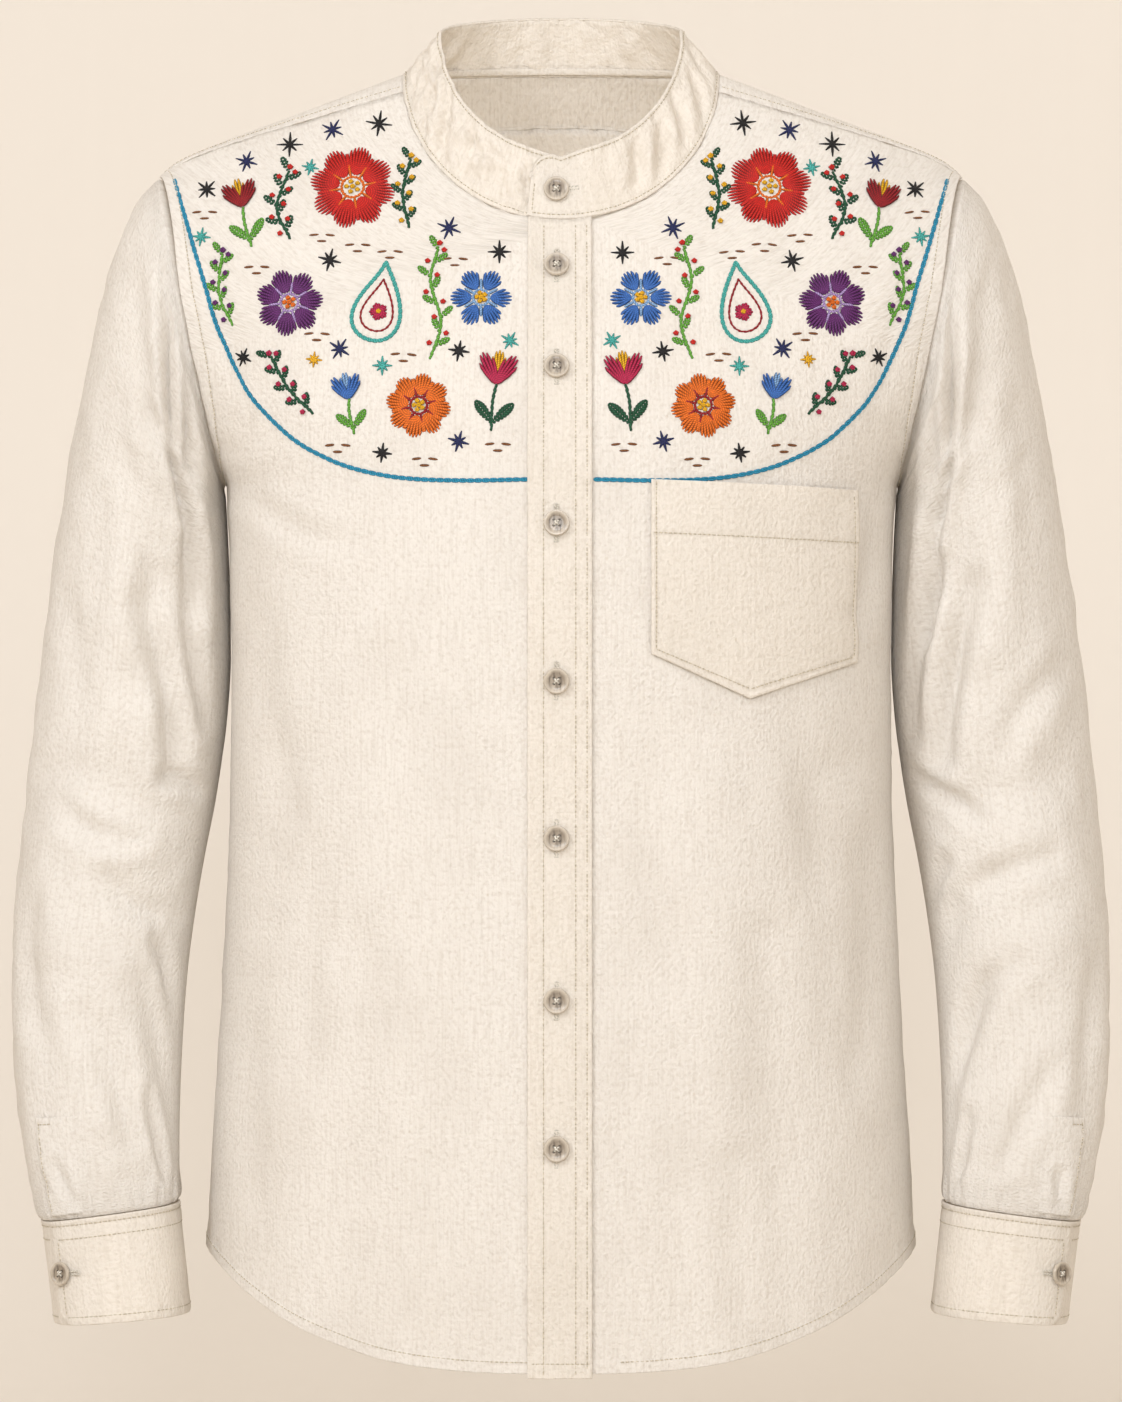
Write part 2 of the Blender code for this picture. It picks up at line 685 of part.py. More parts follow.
def collar_base(angle, share):
    """A point of the collar band before its layers part: share 0 at the seam, 1 at the rim."""
    low = neck_point(angle)
    high = rim_point(angle)
    start = COLLAR_SETBACK / math.dist(low, high)
    return tuple(mix(a, b, mix(start, 1.0, share)) for a, b in zip(low, high))


def collar_lift(angle):
    """How far the band's outer face stands off its base, so that its ends pass each other."""
    come_down = smooth_step((angle - COLLAR_OVER_END) / COLLAR_LAYER_RUN)
    over = (BAND_WALL + LAYER_GAP) * (1.0 - come_down)
    under = LAYER_GAP * smooth_step((angle - COLLAR_UNDER_START) / COLLAR_LAYER_RUN)
    return over - under


def collar_point(angle, share, lift=0.0):
    """A point of the collar band's outer face."""
    point = collar_base(angle, share)
    beside = collar_base(angle + 1.0, share)
    above = collar_base(angle, share + 0.05)
    normal = cross_normal(point, beside, above)
    return add(point, normal, collar_lift(angle) + lift)


def cross_normal(point, beside, above):
    """Direction square to a surface, from a point and two neighbours."""
    first = [b - a for a, b in zip(point, beside)]
    second = [b - a for a, b in zip(point, above)]
    return unit((first[1] * second[2] - first[2] * second[1],
                 first[2] * second[0] - first[0] * second[2],
                 first[0] * second[1] - first[1] * second[0]))


def make_collar(shirt):
    """The stand collar, whose left end laps over its right end."""
    near = [COLLAR_TOP_END + extra for extra in (0.0, 1.5, 4.5, 8.5)]
    rest = [mix(2.0, COLLAR_UNDER_END, step / COLLAR_STEPS) for step in range(COLLAR_STEPS + 1)]
    angles = near + rest
    rows = []
    for row_number in range(COLLAR_ROWS + 1):
        row = []
        for angle in angles:
            from_end = (angle - COLLAR_TOP_END) * math.radians(1.0) * NECK_HALF_WIDTH
            inside = max(COLLAR_TAB_CORNER - from_end, 0.0)
            cut = COLLAR_TAB_CORNER - math.sqrt(COLLAR_TAB_CORNER ** 2 - inside ** 2)
            height = math.dist(collar_base(angle, 0.0), collar_base(angle, 1.0))
            top = 1.0 - cut / height
            row.append(collar_point(angle, top * row_number / COLLAR_ROWS))
        rows.append(row)
    cloth_piece("collar_band", rows, shirt, wall=BAND_WALL)


def make_placket(shirt):
    """The buttonhole strip, made from the left front's points, moved out."""
    columns = 4
    rows = []
    heights = [lower_place(0.0, step / LOWER_ROWS, FRONT_LEFT_EDGE)[1]
               for step in range(LOWER_ROWS)]
    heights += [height for _, height in inner_places(FRONT_LEFT_EDGE)[:FRONT_EDGE_STEPS]]
    for number, height in enumerate(heights):
        row = []
        for place in range(columns + 1):
            out = mix(PLACKET_FREE_EDGE, PLACKET_SEWN_EDGE, place / columns)
            low = height - PLACKET_EXTRA_LENGTH if number == 0 else height
            row.append(body_point(out, low, "front", LAYER_GAP + BAND_WALL))
        rows.append(row)
    top = []
    for place in range(columns + 1):
        out = mix(PLACKET_FREE_EDGE, PLACKET_SEWN_EDGE, place / columns)
        height = neck_place(math.degrees(math.asin(out / NECK_HALF_WIDTH)))[1] - 2.0 * SEAM_GAP
        top.append(body_point(out, height, "front", LAYER_GAP + BAND_WALL))
    rows.append(top)
    cloth_piece("front_placket", rows, shirt, wall=BAND_WALL)


def make_pocket(shirt):
    """The chest pocket, made from the left front's points, moved out."""
    columns = 8
    level_rows = 6
    rows = []
    for step in range(level_rows + 1):
        row = []
        for place in range(columns + 1):
            share = place / columns
            out = mix(POCKET_INNER, POCKET_OUTER, share)
            top = POCKET_TOP + POCKET_TOP_TILT * share
            peak = (POCKET_POINT_OUT - POCKET_INNER) / (POCKET_OUTER - POCKET_INNER)
            slope = share / peak if share < peak else (1.0 - share) / (1.0 - peak)
            foot = mix(POCKET_CORNER, POCKET_POINT, slope) + POCKET_TOP_TILT * share
            height = mix(foot, top, step / level_rows)
            row.append(body_point(out, height, "front", POCKET_LIFT))
        rows.append(row)
    cloth_piece("chest_pocket", rows, shirt)


SLEEVE_PLACES = list(range(len(SLEEVE_TABLE)))
SLEEVE_COLUMNS = {name: column(SLEEVE_TABLE, name) for name in SleeveRow._fields}


def sleeve_row(place):
    """The sleeve table read at a place between its rows."""
    return SleeveRow(*(smooth_value(SLEEVE_PLACES, SLEEVE_COLUMNS[name], place)
                       for name in SleeveRow._fields))


def ring_point(row, angle):
    """A point of a rounded section: 0 outer side, 90 front, 180 inner side, 270 back."""
    turn = math.radians(angle)
    across = math.copysign(abs(math.cos(turn)) ** (2.0 / row.power), math.cos(turn))
    forward = math.copysign(abs(math.sin(turn)) ** (2.0 / row.power), math.sin(turn))
    x = mix(row.inner_x, row.outer_x, (1.0 + across) / 2.0)
    z = mix(row.inner_z, row.outer_z, (1.0 + across) / 2.0)
    return x, row.middle_y - row.half_depth * forward, z


def sleeve_press(angle, place):
    """Outward movement of the sleeve's cloth from its folds and the fullness at its top."""
    moved = 0.0
    spot = (math.radians(angle % 360.0) * SLEEVE_FOLD_RADIUS, place * SLEEVE_ROW_LENGTH)
    for fold in SLEEVE_FOLDS:
        start = (math.radians(fold.start_angle) * SLEEVE_FOLD_RADIUS,
                 fold.start_row * SLEEVE_ROW_LENGTH)
        end = (math.radians(fold.end_angle) * SLEEVE_FOLD_RADIUS,
               fold.end_row * SLEEVE_ROW_LENGTH)
        moved += fold_press(segment_distance(spot, start, end), fold.width, fold.depth)
    away = smooth_step(place / 1.5) * smooth_step((16.0 - place) / 1.2)
    from_body = smooth_step((math.cos(math.radians(angle)) + 1.0) / 0.25)
    fullness = CAP_FULLNESS * math.exp(-((place - 1.6) / 1.1) ** 2)
    return (moved + fullness) * away * from_body


def sleeve_point(angle, place, lift=0.0):
    """A point of the left sleeve's outer face."""
    row = sleeve_row(place)
    point = ring_point(row, angle)
    beside = ring_point(row, angle + 1.0)
    step = 0.05 if place < 15.0 else -0.05
    along = ring_point(sleeve_row(place + step), angle)
    normal = cross_normal(point, beside, along)
    if step < 0.0:
        normal = tuple(-part for part in normal)
    inward = (row.outer_x + row.inner_x) / 2.0 - point[0], row.middle_y - point[1]
    if inward[0] * normal[0] + inward[1] * normal[1] > 0.0:
        normal = tuple(-part for part in normal)
    return add(point, normal, sleeve_press(angle, place) + lift)


def sided(rows, side):
    """Rows kept on the left or mirrored to the right."""
    return rows if side == "left" else mirrored(rows)


def make_sleeve(shirt, side):
    """One sleeve, a tube from the armhole to the cuff."""
    angles = armhole_angles()
    last = SLEEVE_PLACES[-1]
    rows = [[sleeve_point(angle, last * ring / SLEEVE_RINGS) for angle in angles]
            for ring in range(SLEEVE_RINGS + 1)]
    cloth_piece("sleeve_" + side, sided(rows, side), shirt, closed=True, flipped=side == "right")


def make_slit_strip(shirt, side):
    """The strip over the sleeve's slit, made from the sleeve's points, moved out."""
    columns = 5
    row_steps = 6
    rows = []
    for step in range(row_steps + 1):
        place = mix(SLIT_STRIP_ROWS[0], SLIT_STRIP_ROWS[1], step / row_steps)
        rows.append([sleeve_point(mix(*SLIT_STRIP_ANGLES, share / columns), place,
                                  SLIT_STRIP_LIFT)
                     for share in range(columns + 1)])
    cloth_piece("sleeve_placket_" + side, sided(rows, side), shirt, flipped=side == "right")


CUFF_TOP = SLEEVE_TABLE[-1]._replace(outer_z=-638.1, inner_z=-627.7)
CUFF_FOOT = CUFF_TOP._replace(outer_x=283.6, outer_z=-694.6, inner_x=206.6, inner_z=-688.2,
                              middle_y=-43.0, half_depth=38.0)


def cuff_base(angle, share):
    """A point of the cuff before its layers part: share 0 at the top, 1 at the foot."""
    high = ring_point(CUFF_TOP, angle)
    low = ring_point(CUFF_FOOT, angle)
    return tuple(mix(a, b, share) for a, b in zip(high, low))


def cuff_point(angle, share, lift=0.0):
    """A point of the left cuff's outer face."""
    point = cuff_base(angle, share)
    beside = cuff_base(angle + 1.0, share)
    below = cuff_base(angle, share + 0.05)
    normal = tuple(-part for part in cross_normal(point, beside, below))
    inward = CUFF_TOP.middle_y - point[1]
    if inward * normal[1] > 0.0 and abs(inward) > 5.0:
        normal = tuple(-part for part in normal)
    sink_start = CUFF_EDGE_ANGLE + 360.0 - CUFF_UNDER_LEAD
    under = (BAND_WALL + LAYER_GAP) * smooth_step((angle - sink_start) / CUFF_LAYER_RUN)
    return add(point, normal, lift - under)


def make_cuff(shirt, side):
    """One cuff, a strip whose free end laps over its other end."""
    first = [CUFF_EDGE_ANGLE + extra for extra in (0.0, 2.5, 7.0)]
    finish = CUFF_EDGE_ANGLE + 360.0 + CUFF_OVERLAP_ANGLE
    angles = first + [mix(CUFF_EDGE_ANGLE + 14.0, finish, step / CUFF_STEPS)
                      for step in range(CUFF_STEPS + 1)]
    rows = []
    for row_number in range(CUFF_ROWS + 1):
        row = []
        for angle in angles:
            from_end = math.dist(cuff_base(CUFF_EDGE_ANGLE, 0.5), cuff_base(angle, 0.5))
            inside = max(CUFF_CORNER - from_end, 0.0) if angle < 180.0 else 0.0
            cut = CUFF_CORNER - math.sqrt(CUFF_CORNER ** 2 - inside ** 2)
            foot = 1.0 - cut / math.dist(cuff_base(angle, 0.0), cuff_base(angle, 1.0))
            row.append(cuff_point(angle, foot * row_number / CUFF_ROWS))
        rows.append(row)
    cloth_piece("cuff_" + side, sided(rows, side), shirt, wall=BAND_WALL, flipped=side == "right")


def button_mesh(name, radius):
    """Profile of a dished button with a raised rim, from its middle out and back under it."""
    floor = BUTTON_THICK - BUTTON_DISH
    profile = ((0.0, floor), (radius - BUTTON_RIM * 1.5, floor),
               (radius - BUTTON_RIM, BUTTON_THICK), (radius - BUTTON_RIM * 0.35, BUTTON_THICK),
               (radius, BUTTON_THICK * 0.6), (radius * 0.86, 0.0), (0.0, 0.0))
    points = [(x * METRES_PER_MM, 0.0, z * METRES_PER_MM) for x, z in profile]
    edges = [(place, place + 1) for place in range(len(points) - 1)]
    mesh = bpy.data.meshes.new(name)
    mesh.from_pydata(points, edges, [])
    return mesh


def make_button(shirt, name, mesh, seat, above):
    """A button whose back lies just above its seat, square to the cloth."""
    placed = bpy.data.objects.new(name, mesh)
    shirt.collection.objects.link(placed)
    screw = placed.modifiers.new("turned", "SCREW")
    screw.steps = BUTTON_STEPS
    screw.render_steps = BUTTON_STEPS
    screw.use_merge_vertices = True
    screw.merge_threshold = 0.00001
    screw.use_smooth_shade = True
    placed.location = Vector(seat) * METRES_PER_MM
    placed.rotation_euler = Vector(above).to_track_quat("Z", "Y").to_euler()
    return placed


def seat_and_normal(low, high):
    """A seat on the cloth and the direction away from it, from two lifted points."""
    return low, tuple(b - a for a, b in zip(low, high))


def make_buttons(shirt):
    """The collar button, the placket's buttons and one on each cuff."""
    mesh = button_mesh("button", BUTTON_RADIUS)
    mesh.materials.append(shirt.horn)
    seat, above = seat_and_normal(
        collar_point(COLLAR_BUTTON_ANGLE, COLLAR_BUTTON_SHARE, BUTTON_SEAT),
        collar_point(COLLAR_BUTTON_ANGLE, COLLAR_BUTTON_SHARE, BUTTON_SEAT + 1.0))
    make_button(shirt, "button_1", mesh, seat, above)
    lift = LAYER_GAP + BAND_WALL + BUTTON_SEAT
    for number, height in enumerate(BUTTON_HEIGHTS):
        seat, above = seat_and_normal(
            body_point(BUTTON_OUT, height, "front", lift),
            body_point(BUTTON_OUT, height, "front", lift + 1.0))
        make_button(shirt, "button_%d" % (number + 2), mesh, seat, above)
    cuff_mesh = button_mesh("cuff_button", CUFF_BUTTON_RADIUS)
    cuff_mesh.materials.append(shirt.horn)
    for side, across in (("left", 1.0), ("right", -1.0)):
        low = cuff_point(CUFF_BUTTON_ANGLE, CUFF_BUTTON_SHARE, BUTTON_SEAT)
        high = cuff_point(CUFF_BUTTON_ANGLE, CUFF_BUTTON_SHARE, BUTTON_SEAT + 1.0)
        seat, above = seat_and_normal((low[0] * across, low[1], low[2]),
                                      (high[0] * across, high[1], high[2]))
        make_button(shirt, "cuff_button_" + side, cuff_mesh, seat, above)


def clear_scene():
    """Remove every object of the scene."""
    for old in list(bpy.data.objects):
        bpy.data.objects.remove(old, do_unlink=True)


def main():
    """Make every piece of the shirt."""
    clear_scene()
    shirt = Shirt()
    make_fronts(shirt)
    make_back(shirt)
    make_yoke(shirt)
    make_collar(shirt)
    make_placket(shirt)
    make_pocket(shirt)
    for side in ("left", "right"):
        make_sleeve(shirt, side)
        make_slit_strip(shirt, side)
        make_cuff(shirt, side)
    make_buttons(shirt)


main()
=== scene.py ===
"""Looks of an embroidered band-collar shirt: its cloth, sewing, buttons and needlework.

Lengths are millimetres until a mesh is made. The frame is in metres with +Z up, the front
faces -Y, and the wearer's left is +X.
"""

import logging
import math
from dataclasses import dataclass, field
from enum import Enum

import bpy
import numpy as np
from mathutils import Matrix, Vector


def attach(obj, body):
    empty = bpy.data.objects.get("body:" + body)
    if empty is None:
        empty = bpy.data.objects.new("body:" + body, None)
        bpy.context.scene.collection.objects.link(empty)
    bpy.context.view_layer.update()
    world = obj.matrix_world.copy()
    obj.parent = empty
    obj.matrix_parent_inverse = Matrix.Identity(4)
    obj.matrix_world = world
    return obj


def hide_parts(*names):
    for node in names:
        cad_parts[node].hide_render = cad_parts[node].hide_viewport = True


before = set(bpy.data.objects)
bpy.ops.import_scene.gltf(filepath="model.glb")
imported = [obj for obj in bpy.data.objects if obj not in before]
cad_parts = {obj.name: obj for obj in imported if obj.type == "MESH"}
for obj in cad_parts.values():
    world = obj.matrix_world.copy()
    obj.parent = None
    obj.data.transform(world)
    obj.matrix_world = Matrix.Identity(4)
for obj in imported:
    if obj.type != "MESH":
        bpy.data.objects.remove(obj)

# A value or an array of them, two arrays, and what a node's input takes
Places = float | np.ndarray
Pair = tuple[np.ndarray, np.ndarray]
Socket = bpy.types.NodeSocket
Input = bpy.types.NodeSocket | tuple | float

LOG = logging.getLogger("shirt")
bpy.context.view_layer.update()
METRES_PER_MM = 0.001
GRAIN_LAYER = "grain"

# The body's form, as in the part's source
SIDE_POWER = 2.3
DEPTH_POWER = 2.4
NECK_HALF_WIDTH = 89.0
NECK_SIDE_HEIGHT = 5.4
NECK_FRONT_DROP = 87.0
NECK_BACK_RISE = 4.1
TIP_OUT = 226.0
TIP_HEIGHT = -52.0
ARMPIT_OUT = 189.0
ARMPIT_HEIGHT = -227.0
ARMHOLE_MIDDLE = (TIP_HEIGHT + ARMPIT_HEIGHT) / 2.0
ARMHOLE_HALF_HEIGHT = (TIP_HEIGHT - ARMPIT_HEIGHT) / 2.0
HEM_MIDDLE = -714.0
HEM_SIDE_RISE = 61.0
HEM_SIDE_OUT = 199.5
HEM_CURVE_POWER = 3.1
YOKE_BACK_MIDDLE = -18.0
YOKE_BACK_SIDE = -100.0
YOKE_BACK_POWER = 2.2
PLACKET_FREE_EDGE = -18.3
PLACKET_SEWN_EDGE = 17.0
PLACKET_LIFT = 2.1
PLACKET_EXTRA_LENGTH = 2.5
FRONT_INNER_EDGES = {1: 14.3, -1: -13.7}
LOWER_LENGTH = HEM_MIDDLE - ARMPIT_HEIGHT
YOKE_STEPS = 17.0
YOKE_ARMHOLE_STEPS = 6.0
COLLAR_LAYERS = 2.1
RIM_HALF_WIDTH = 67.5
RIM_SIDE_HEIGHT = 30.0
RIM_FRONT_DROP = 76.5
RIM_BACK_RISE = 13.0
RIM_MIDDLE_DEPTH = -6.0
RIM_HALF_DEPTH = 54.0
RIM_DIP_SHARE = 0.06
RIM_DIP_ANGLE = 10.0
COLLAR_ENDS = (-12.2, 369.0)
COLLAR_TAB_CORNER = 16.0
CUFF_EDGE_ANGLE = 40.0
CUFF_OVERLAP_ANGLE = 44.0
CUFF_CORNER = 8.0
SLIT_STRIP_ANGLES = (47.0, 85.0)
SLIT_STRIP_ROWS = (13.75, 15.85)
SLIT_STRIP_LIFT = 1.75
BUTTON_HEIGHTS = (-109.0, -165.5, -251.0, -337.0, -423.0, -511.5, -592.0)
BUTTON_OUT = -2.4

# Height, depth in front and depth behind of the body's level sections
BODY_DEPTHS = np.array((
    (-720, 136, 135), (-653, 132.5, 131), (-540, 128, 122), (-450, 124.5, 114), (-370, 123, 111),
    (-290, 124, 116), (-227, 121, 119.5), (-190, 115, 118.5), (-145, 100, 113.5), (-105, 82, 105),
    (-82, 70, 98), (-60, 56, 91), (-40, 43, 83), (-20, 31, 73), (-5, 22, 63), (5, 16, 56), (12, 12, 50),
))
# Height and distance from the middle
SIDE_SEAM = np.array((
    (-720, 202), (-653, 199.5), (-605, 197), (-550, 193.6), (-490, 190.2), (-425, 187.2), (-345, 186),
    (-300, 186.2), (-258, 187.4), (-227, 189),
))
SHOULDER_LINE = np.array((
    (-52, 226), (-43.8, 215.5), (-36.5, 200), (-24, 166.8), (-10, 129.7), (5.4, 89),
))
# Distance from the middle and drop of the yoke's front seam below the shoulder line
YOKE_FRONT_DROPS = np.array(((88.0, 11.0), (173.0, 4.5), (226.0, 2.0)))
# Outer x and z, inner x and z, middle y, half depth and rounding power of the sleeve's rings
SLEEVE_TABLE = np.array((
    (226.5, -52.65, 190.3, -226.5, 2, 64, 2), (237.5, -66, 190.6, -229.6, 2, 65.5, 2),
    (251, -99, 190.6, -233.6, 2, 66, 2), (262.5, -136, 190.6, -239.5, 3, 65, 2.05),
    (271.5, -178, 190.4, -249, 4, 63.5, 2.1), (278.5, -217, 190.2, -265, 5, 62, 2.1),
    (285.5, -261, 190, -292, 6, 60.5, 2.1), (291.8, -309, 190, -330, 6, 58.5, 2.1),
    (297.5, -355, 190.6, -368, 5, 57, 2.1), (302, -399, 195, -402, 3, 56, 2.1),
    (306, -440, 201.6, -437, -1, 54, 2.15), (308.3, -478, 206.8, -470, -6, 51.5, 2.2),
    (308.8, -512, 210.6, -503, -12, 49, 2.2), (307.6, -549, 213, -543, -19, 46.5, 2.25),
    (302.8, -590, 214, -583, -26.5, 43.5, 2.3), (296.5, -620, 213.8, -610, -31.5, 40.5, 2.45),
    (291.2, -637.6, 213.6, -627.2, -35, 38.2, 2.6),
))
CUFF_TOP = np.array((291.2, -638.1, 213.6, -627.7, -35.0, 38.2, 2.6))
CUFF_FOOT = np.array((283.6, -694.6, 206.6, -688.2, -43.0, 38.0, 2.6))
SLEEVE_FOLD_RADIUS = 52.0
SLEEVE_ROW_LENGTH = 38.0
CAP_FULLNESS = 2.2


class Face(Enum):
    """Which side of the body a place is on."""

    FRONT = 1
    BACK = 2


class Side(Enum):
    """The wearer's side, with the sign of its x."""

    LEFT = 1
    RIGHT = -1

    @property
    def word(self) -> str:
        """The side's name as node names end."""
        return self.name.lower()


ARMHOLE_REACH = {Face.FRONT: 62.0, Face.BACK: 66.0}


@dataclass(frozen=True)
class Fold:
    """A soft trough in cloth, or a ridge where its depth is negative.

    On the body, across is the distance from the middle and along is the height. On a sleeve
    they are the angle in degrees and the row of the sleeve's table.
    """

    start: tuple[float, float]
    end: tuple[float, float]
    width: float
    depth: float
    bow: float = 0.0


def fold_rows(*rows: tuple[float, ...]) -> tuple[Fold, ...]:
    """Folds from rows of numbers: start, end, width, depth and, where there is one, bow."""
    return tuple(Fold(row[:2], row[2:4], *row[4:]) for row in rows)


# The large folds of the part's source, alike on both sides
FORM_FOLDS = {
    Face.FRONT: fold_rows(
        (150, -385, 158, -540, 20, 3.4), (112, -480, 122, -730, 17, 3.2), (60, -560, 66, -730, 15, 2),
        (86, -400, 92, -580, 22, -2.2),
    ),
    Face.BACK: fold_rows(
        (58, -190, 52, -520, 17, 4.4), (116, -250, 104, -560, 20, 4), (84, -470, 92, -730, 17, -3),
        (0, -300, 0, -640, 20, 2.6), (176, -236, 112, -286, 12, 3), (146, -150, 120, -215, 14, 2.4),
    ),
}
SLEEVE_FOLDS = fold_rows(
    (56, 1.8, 90, 3.2, 13, 3.6), (90, 3.2, 108, 6, 13, 5), (108, 6, 132, 8.4, 13, 4.6),
    (62, 8.7, 132, 9.2, 15, 4.6), (108, 10.3, 166, 11.5, 14, 4.8), (70, 11.2, 112, 12, 15, -3),
    (120, 12, 168, 14, 13, 4.4), (300, 2, 262, 5, 14, 4.2), (250, 6, 232, 8.6, 14, 4.4),
    (296, 9, 222, 9.7, 15, 4.6), (262, 11.2, 208, 12.2, 14, 4), (300, 12.4, 250, 14.2, 13, 3.4),
)
# Finer creases of the worn cloth, each placed one by one, with x as it is
BODY_CREASES = {
    Face.FRONT: fold_rows(
        (-172, -236, -118, -262, 7, 1.1, 4), (174, -240, 166, -300, 8, 1.2, -3),
        (-164, -300, -150, -410, 9, 1.1, 5), (-98, -330, -86, -470, 12, 0.8, -6),
        (-132, -430, -138, -560, 9, 0.9, 4), (-44, -380, -40, -520, 11, 0.7, 3),
        (-70, -600, -64, -700, 8, 0.9, -2), (-176, -500, -168, -620, 10, 1.1, 3),
        (52, -360, 58, -500, 11, 0.7, 4), (128, -360, 140, -450, 10, 0.8, -4),
        (96, -600, 102, -706, 9, 0.9, 3), (172, -420, 166, -560, 9, 1.2, -4),
        (40, -540, 36, -660, 10, 0.6, 2), (196, -110, 178, -176, 7, 0.7, 3),
        (-198, -104, -180, -170, 7, 0.8, -3),
    ),
    Face.BACK: fold_rows(
        (-150, -300, -136, -430, 10, 1.2, 5), (140, -290, 130, -410, 11, 1.3, -4),
        (-30, -250, -26, -400, 11, 0.9, 4), (24, -420, 30, -600, 12, 1, -4),
        (-120, -560, -128, -690, 10, 1.1, 3), (66, -560, 60, -700, 11, 1.1, 3),
        (168, -470, 160, -600, 10, 1.2, 4), (-176, -420, -170, -520, 9, 1.1, -3),
        (-90, -120, -60, -170, 12, 0.8, 3), (70, -110, 96, -160, 11, 0.9, 3),
    ),
}
SLEEVE_CREASES = {
    Side.RIGHT: fold_rows(
        (82, 0.9, 112, 3.6, 5.5, 2.3, 3), (112, 3.4, 138, 6.2, 6.5, 2.4, 4),
        (86, 3, 92, 6.8, 13, -1.5, 3), (98, 6.4, 124, 8.6, 8, 2.2, 5), (66, 0.5, 98, 2.5, 6, 1.5, 3),
        (108, 1.4, 124, 4, 7, 1.7, 4), (80, 4.2, 97, 7.4, 9, 1.3, 5), (126, 5.2, 146, 7.8, 7, 1.7, -4),
        (42, 6.6, 64, 8, 10, 0.9, 4), (104, 9.7, 58, 9.2, 6.5, 1.7, 3), (120, 8.7, 150, 8.9, 6, 1.9, 2),
        (90, 10.2, 128, 10.9, 7, 1.5, -4), (130, 11.3, 160, 12.7, 7, 1.6, 3),
        (86, 12.4, 112, 14.2, 8, 1.3, 5), (128, 13.6, 146, 15.2, 5.5, 1.2, 2),
        (40, 10.6, 56, 12.8, 10, 0.9, -4), (60, 14.5, 72, 15.7, 4.5, 1.1, 1),
        (336, 4, 322, 7.6, 10, 1.1, 4), (258, 7.8, 226, 8.8, 7, 1.6, 3),
        (268, 10, 224, 10.7, 7, 1.5, -3), (240, 12.6, 212, 14, 6, 1.4, 3),
        (282, 14, 270, 15.6, 5, 1.1, 2),
    ),
    Side.LEFT: fold_rows(
        (84, 0.8, 114, 3.8, 5.5, 2.2, 3), (112, 3.6, 136, 6.6, 6.5, 2.3, 4),
        (88, 3.2, 90, 7, 13, -1.4, -3), (100, 6.2, 128, 8.4, 8, 2.3, 5),
        (72, 0.6, 104, 2.9, 6.5, 1.4, 3), (112, 1.8, 126, 4.6, 7, 1.8, 3),
        (84, 3.6, 94, 6.6, 9, 1.1, -4), (124, 5.6, 150, 8, 7.5, 1.8, 4), (46, 7.4, 88, 8.3, 8, 1.3, 5),
        (112, 9.3, 152, 8.7, 6, 1.8, 2), (70, 9.9, 116, 10.4, 7, 1.4, 3),
        (138, 10, 166, 10.9, 6, 1.5, 2), (96, 11.6, 148, 13.2, 7.5, 1.6, 5),
        (76, 13.1, 104, 14.8, 7, 1.1, 3), (134, 13.9, 150, 15.4, 5.5, 1.2, -2),
        (36, 11.4, 50, 13.6, 10, 0.9, 4), (66, 14.7, 58, 15.7, 4.5, 1, 1),
        (340, 3.4, 328, 6.8, 10, 1, -4), (252, 7.4, 220, 8.6, 7, 1.7, 3),
        (274, 10.4, 230, 11.3, 7, 1.4, 3), (236, 13, 208, 14.4, 6, 1.3, -2),
        (290, 13.8, 276, 15.4, 5, 1.1, 2),
    ),
}


# Length, direction in radians and start of each wave of the cloth's unevenness
RUMPLE_WAVES = (
    (17.0, 0.5, 0.3), (23.0, 2.2, 1.9), (31.0, 1.2, 4.1), (41.0, 2.8, 2.6), (14.0, 1.7, 5.0),
    (53.0, 0.2, 3.3),
)
# How much deeper the finer creases are drawn than their table says
BODY_CREASE_DEPTH = 2.2
SLEEVE_CREASE_DEPTH = 3.3
COLLAR_CREASE_DEPTH = 3.6


def mix(start: Places, end: Places, share: Places) -> Places:
    """A value part of the way from start to end."""
    return start + (end - start) * share


def smooth_step(share: Places) -> Places:
    """An eased share between 0 and 1."""
    share = np.clip(share, 0.0, 1.0)
    return share * share * (3.0 - 2.0 * share)


def bell(value: Places, middle: float, width: float) -> Places:
    """A smooth bump, 1 at its middle and near 0 at twice its width."""
    return np.exp(-((value - middle) / width) ** 2)


def unit(vectors: np.ndarray) -> np.ndarray:
    """Vectors of length one."""
    return vectors / np.maximum(np.linalg.norm(vectors, axis=-1, keepdims=True), 1e-9)


def smooth_value(table: np.ndarray, name: int, place: Places) -> np.ndarray:
    """Values on a smooth curve through one column of a table, with the ends held.

    Args:
        table: Rows that rise in their first column, or any rows where place counts rows.
        name: The column to read.
        place: Where to read it, in the first column's terms.

    Returns:
        The curve's value at each place.
    """
    places, values = table[:, 0], table[:, name]
    place = np.clip(np.asarray(place, float), places[0], places[-1])
    low = np.clip(np.searchsorted(places, place, side="right") - 1, 0, len(places) - 2)
    before = np.maximum(low - 1, 0)
    after = np.minimum(low + 2, len(places) - 1)
    step = places[low + 1] - places[low]
    start_slope = (values[low + 1] - values[before]) / (places[low + 1] - places[before])
    end_slope = (values[after] - values[low]) / (places[after] - places[low])
    share = (place - places[low]) / step
    rest = 1.0 - share
    return (values[low] * rest * rest * (1.0 + 2.0 * share)
            + values[low + 1] * share * share * (3.0 - 2.0 * share)
            + step * start_slope * share * rest * rest
            - step * end_slope * share * share * rest)


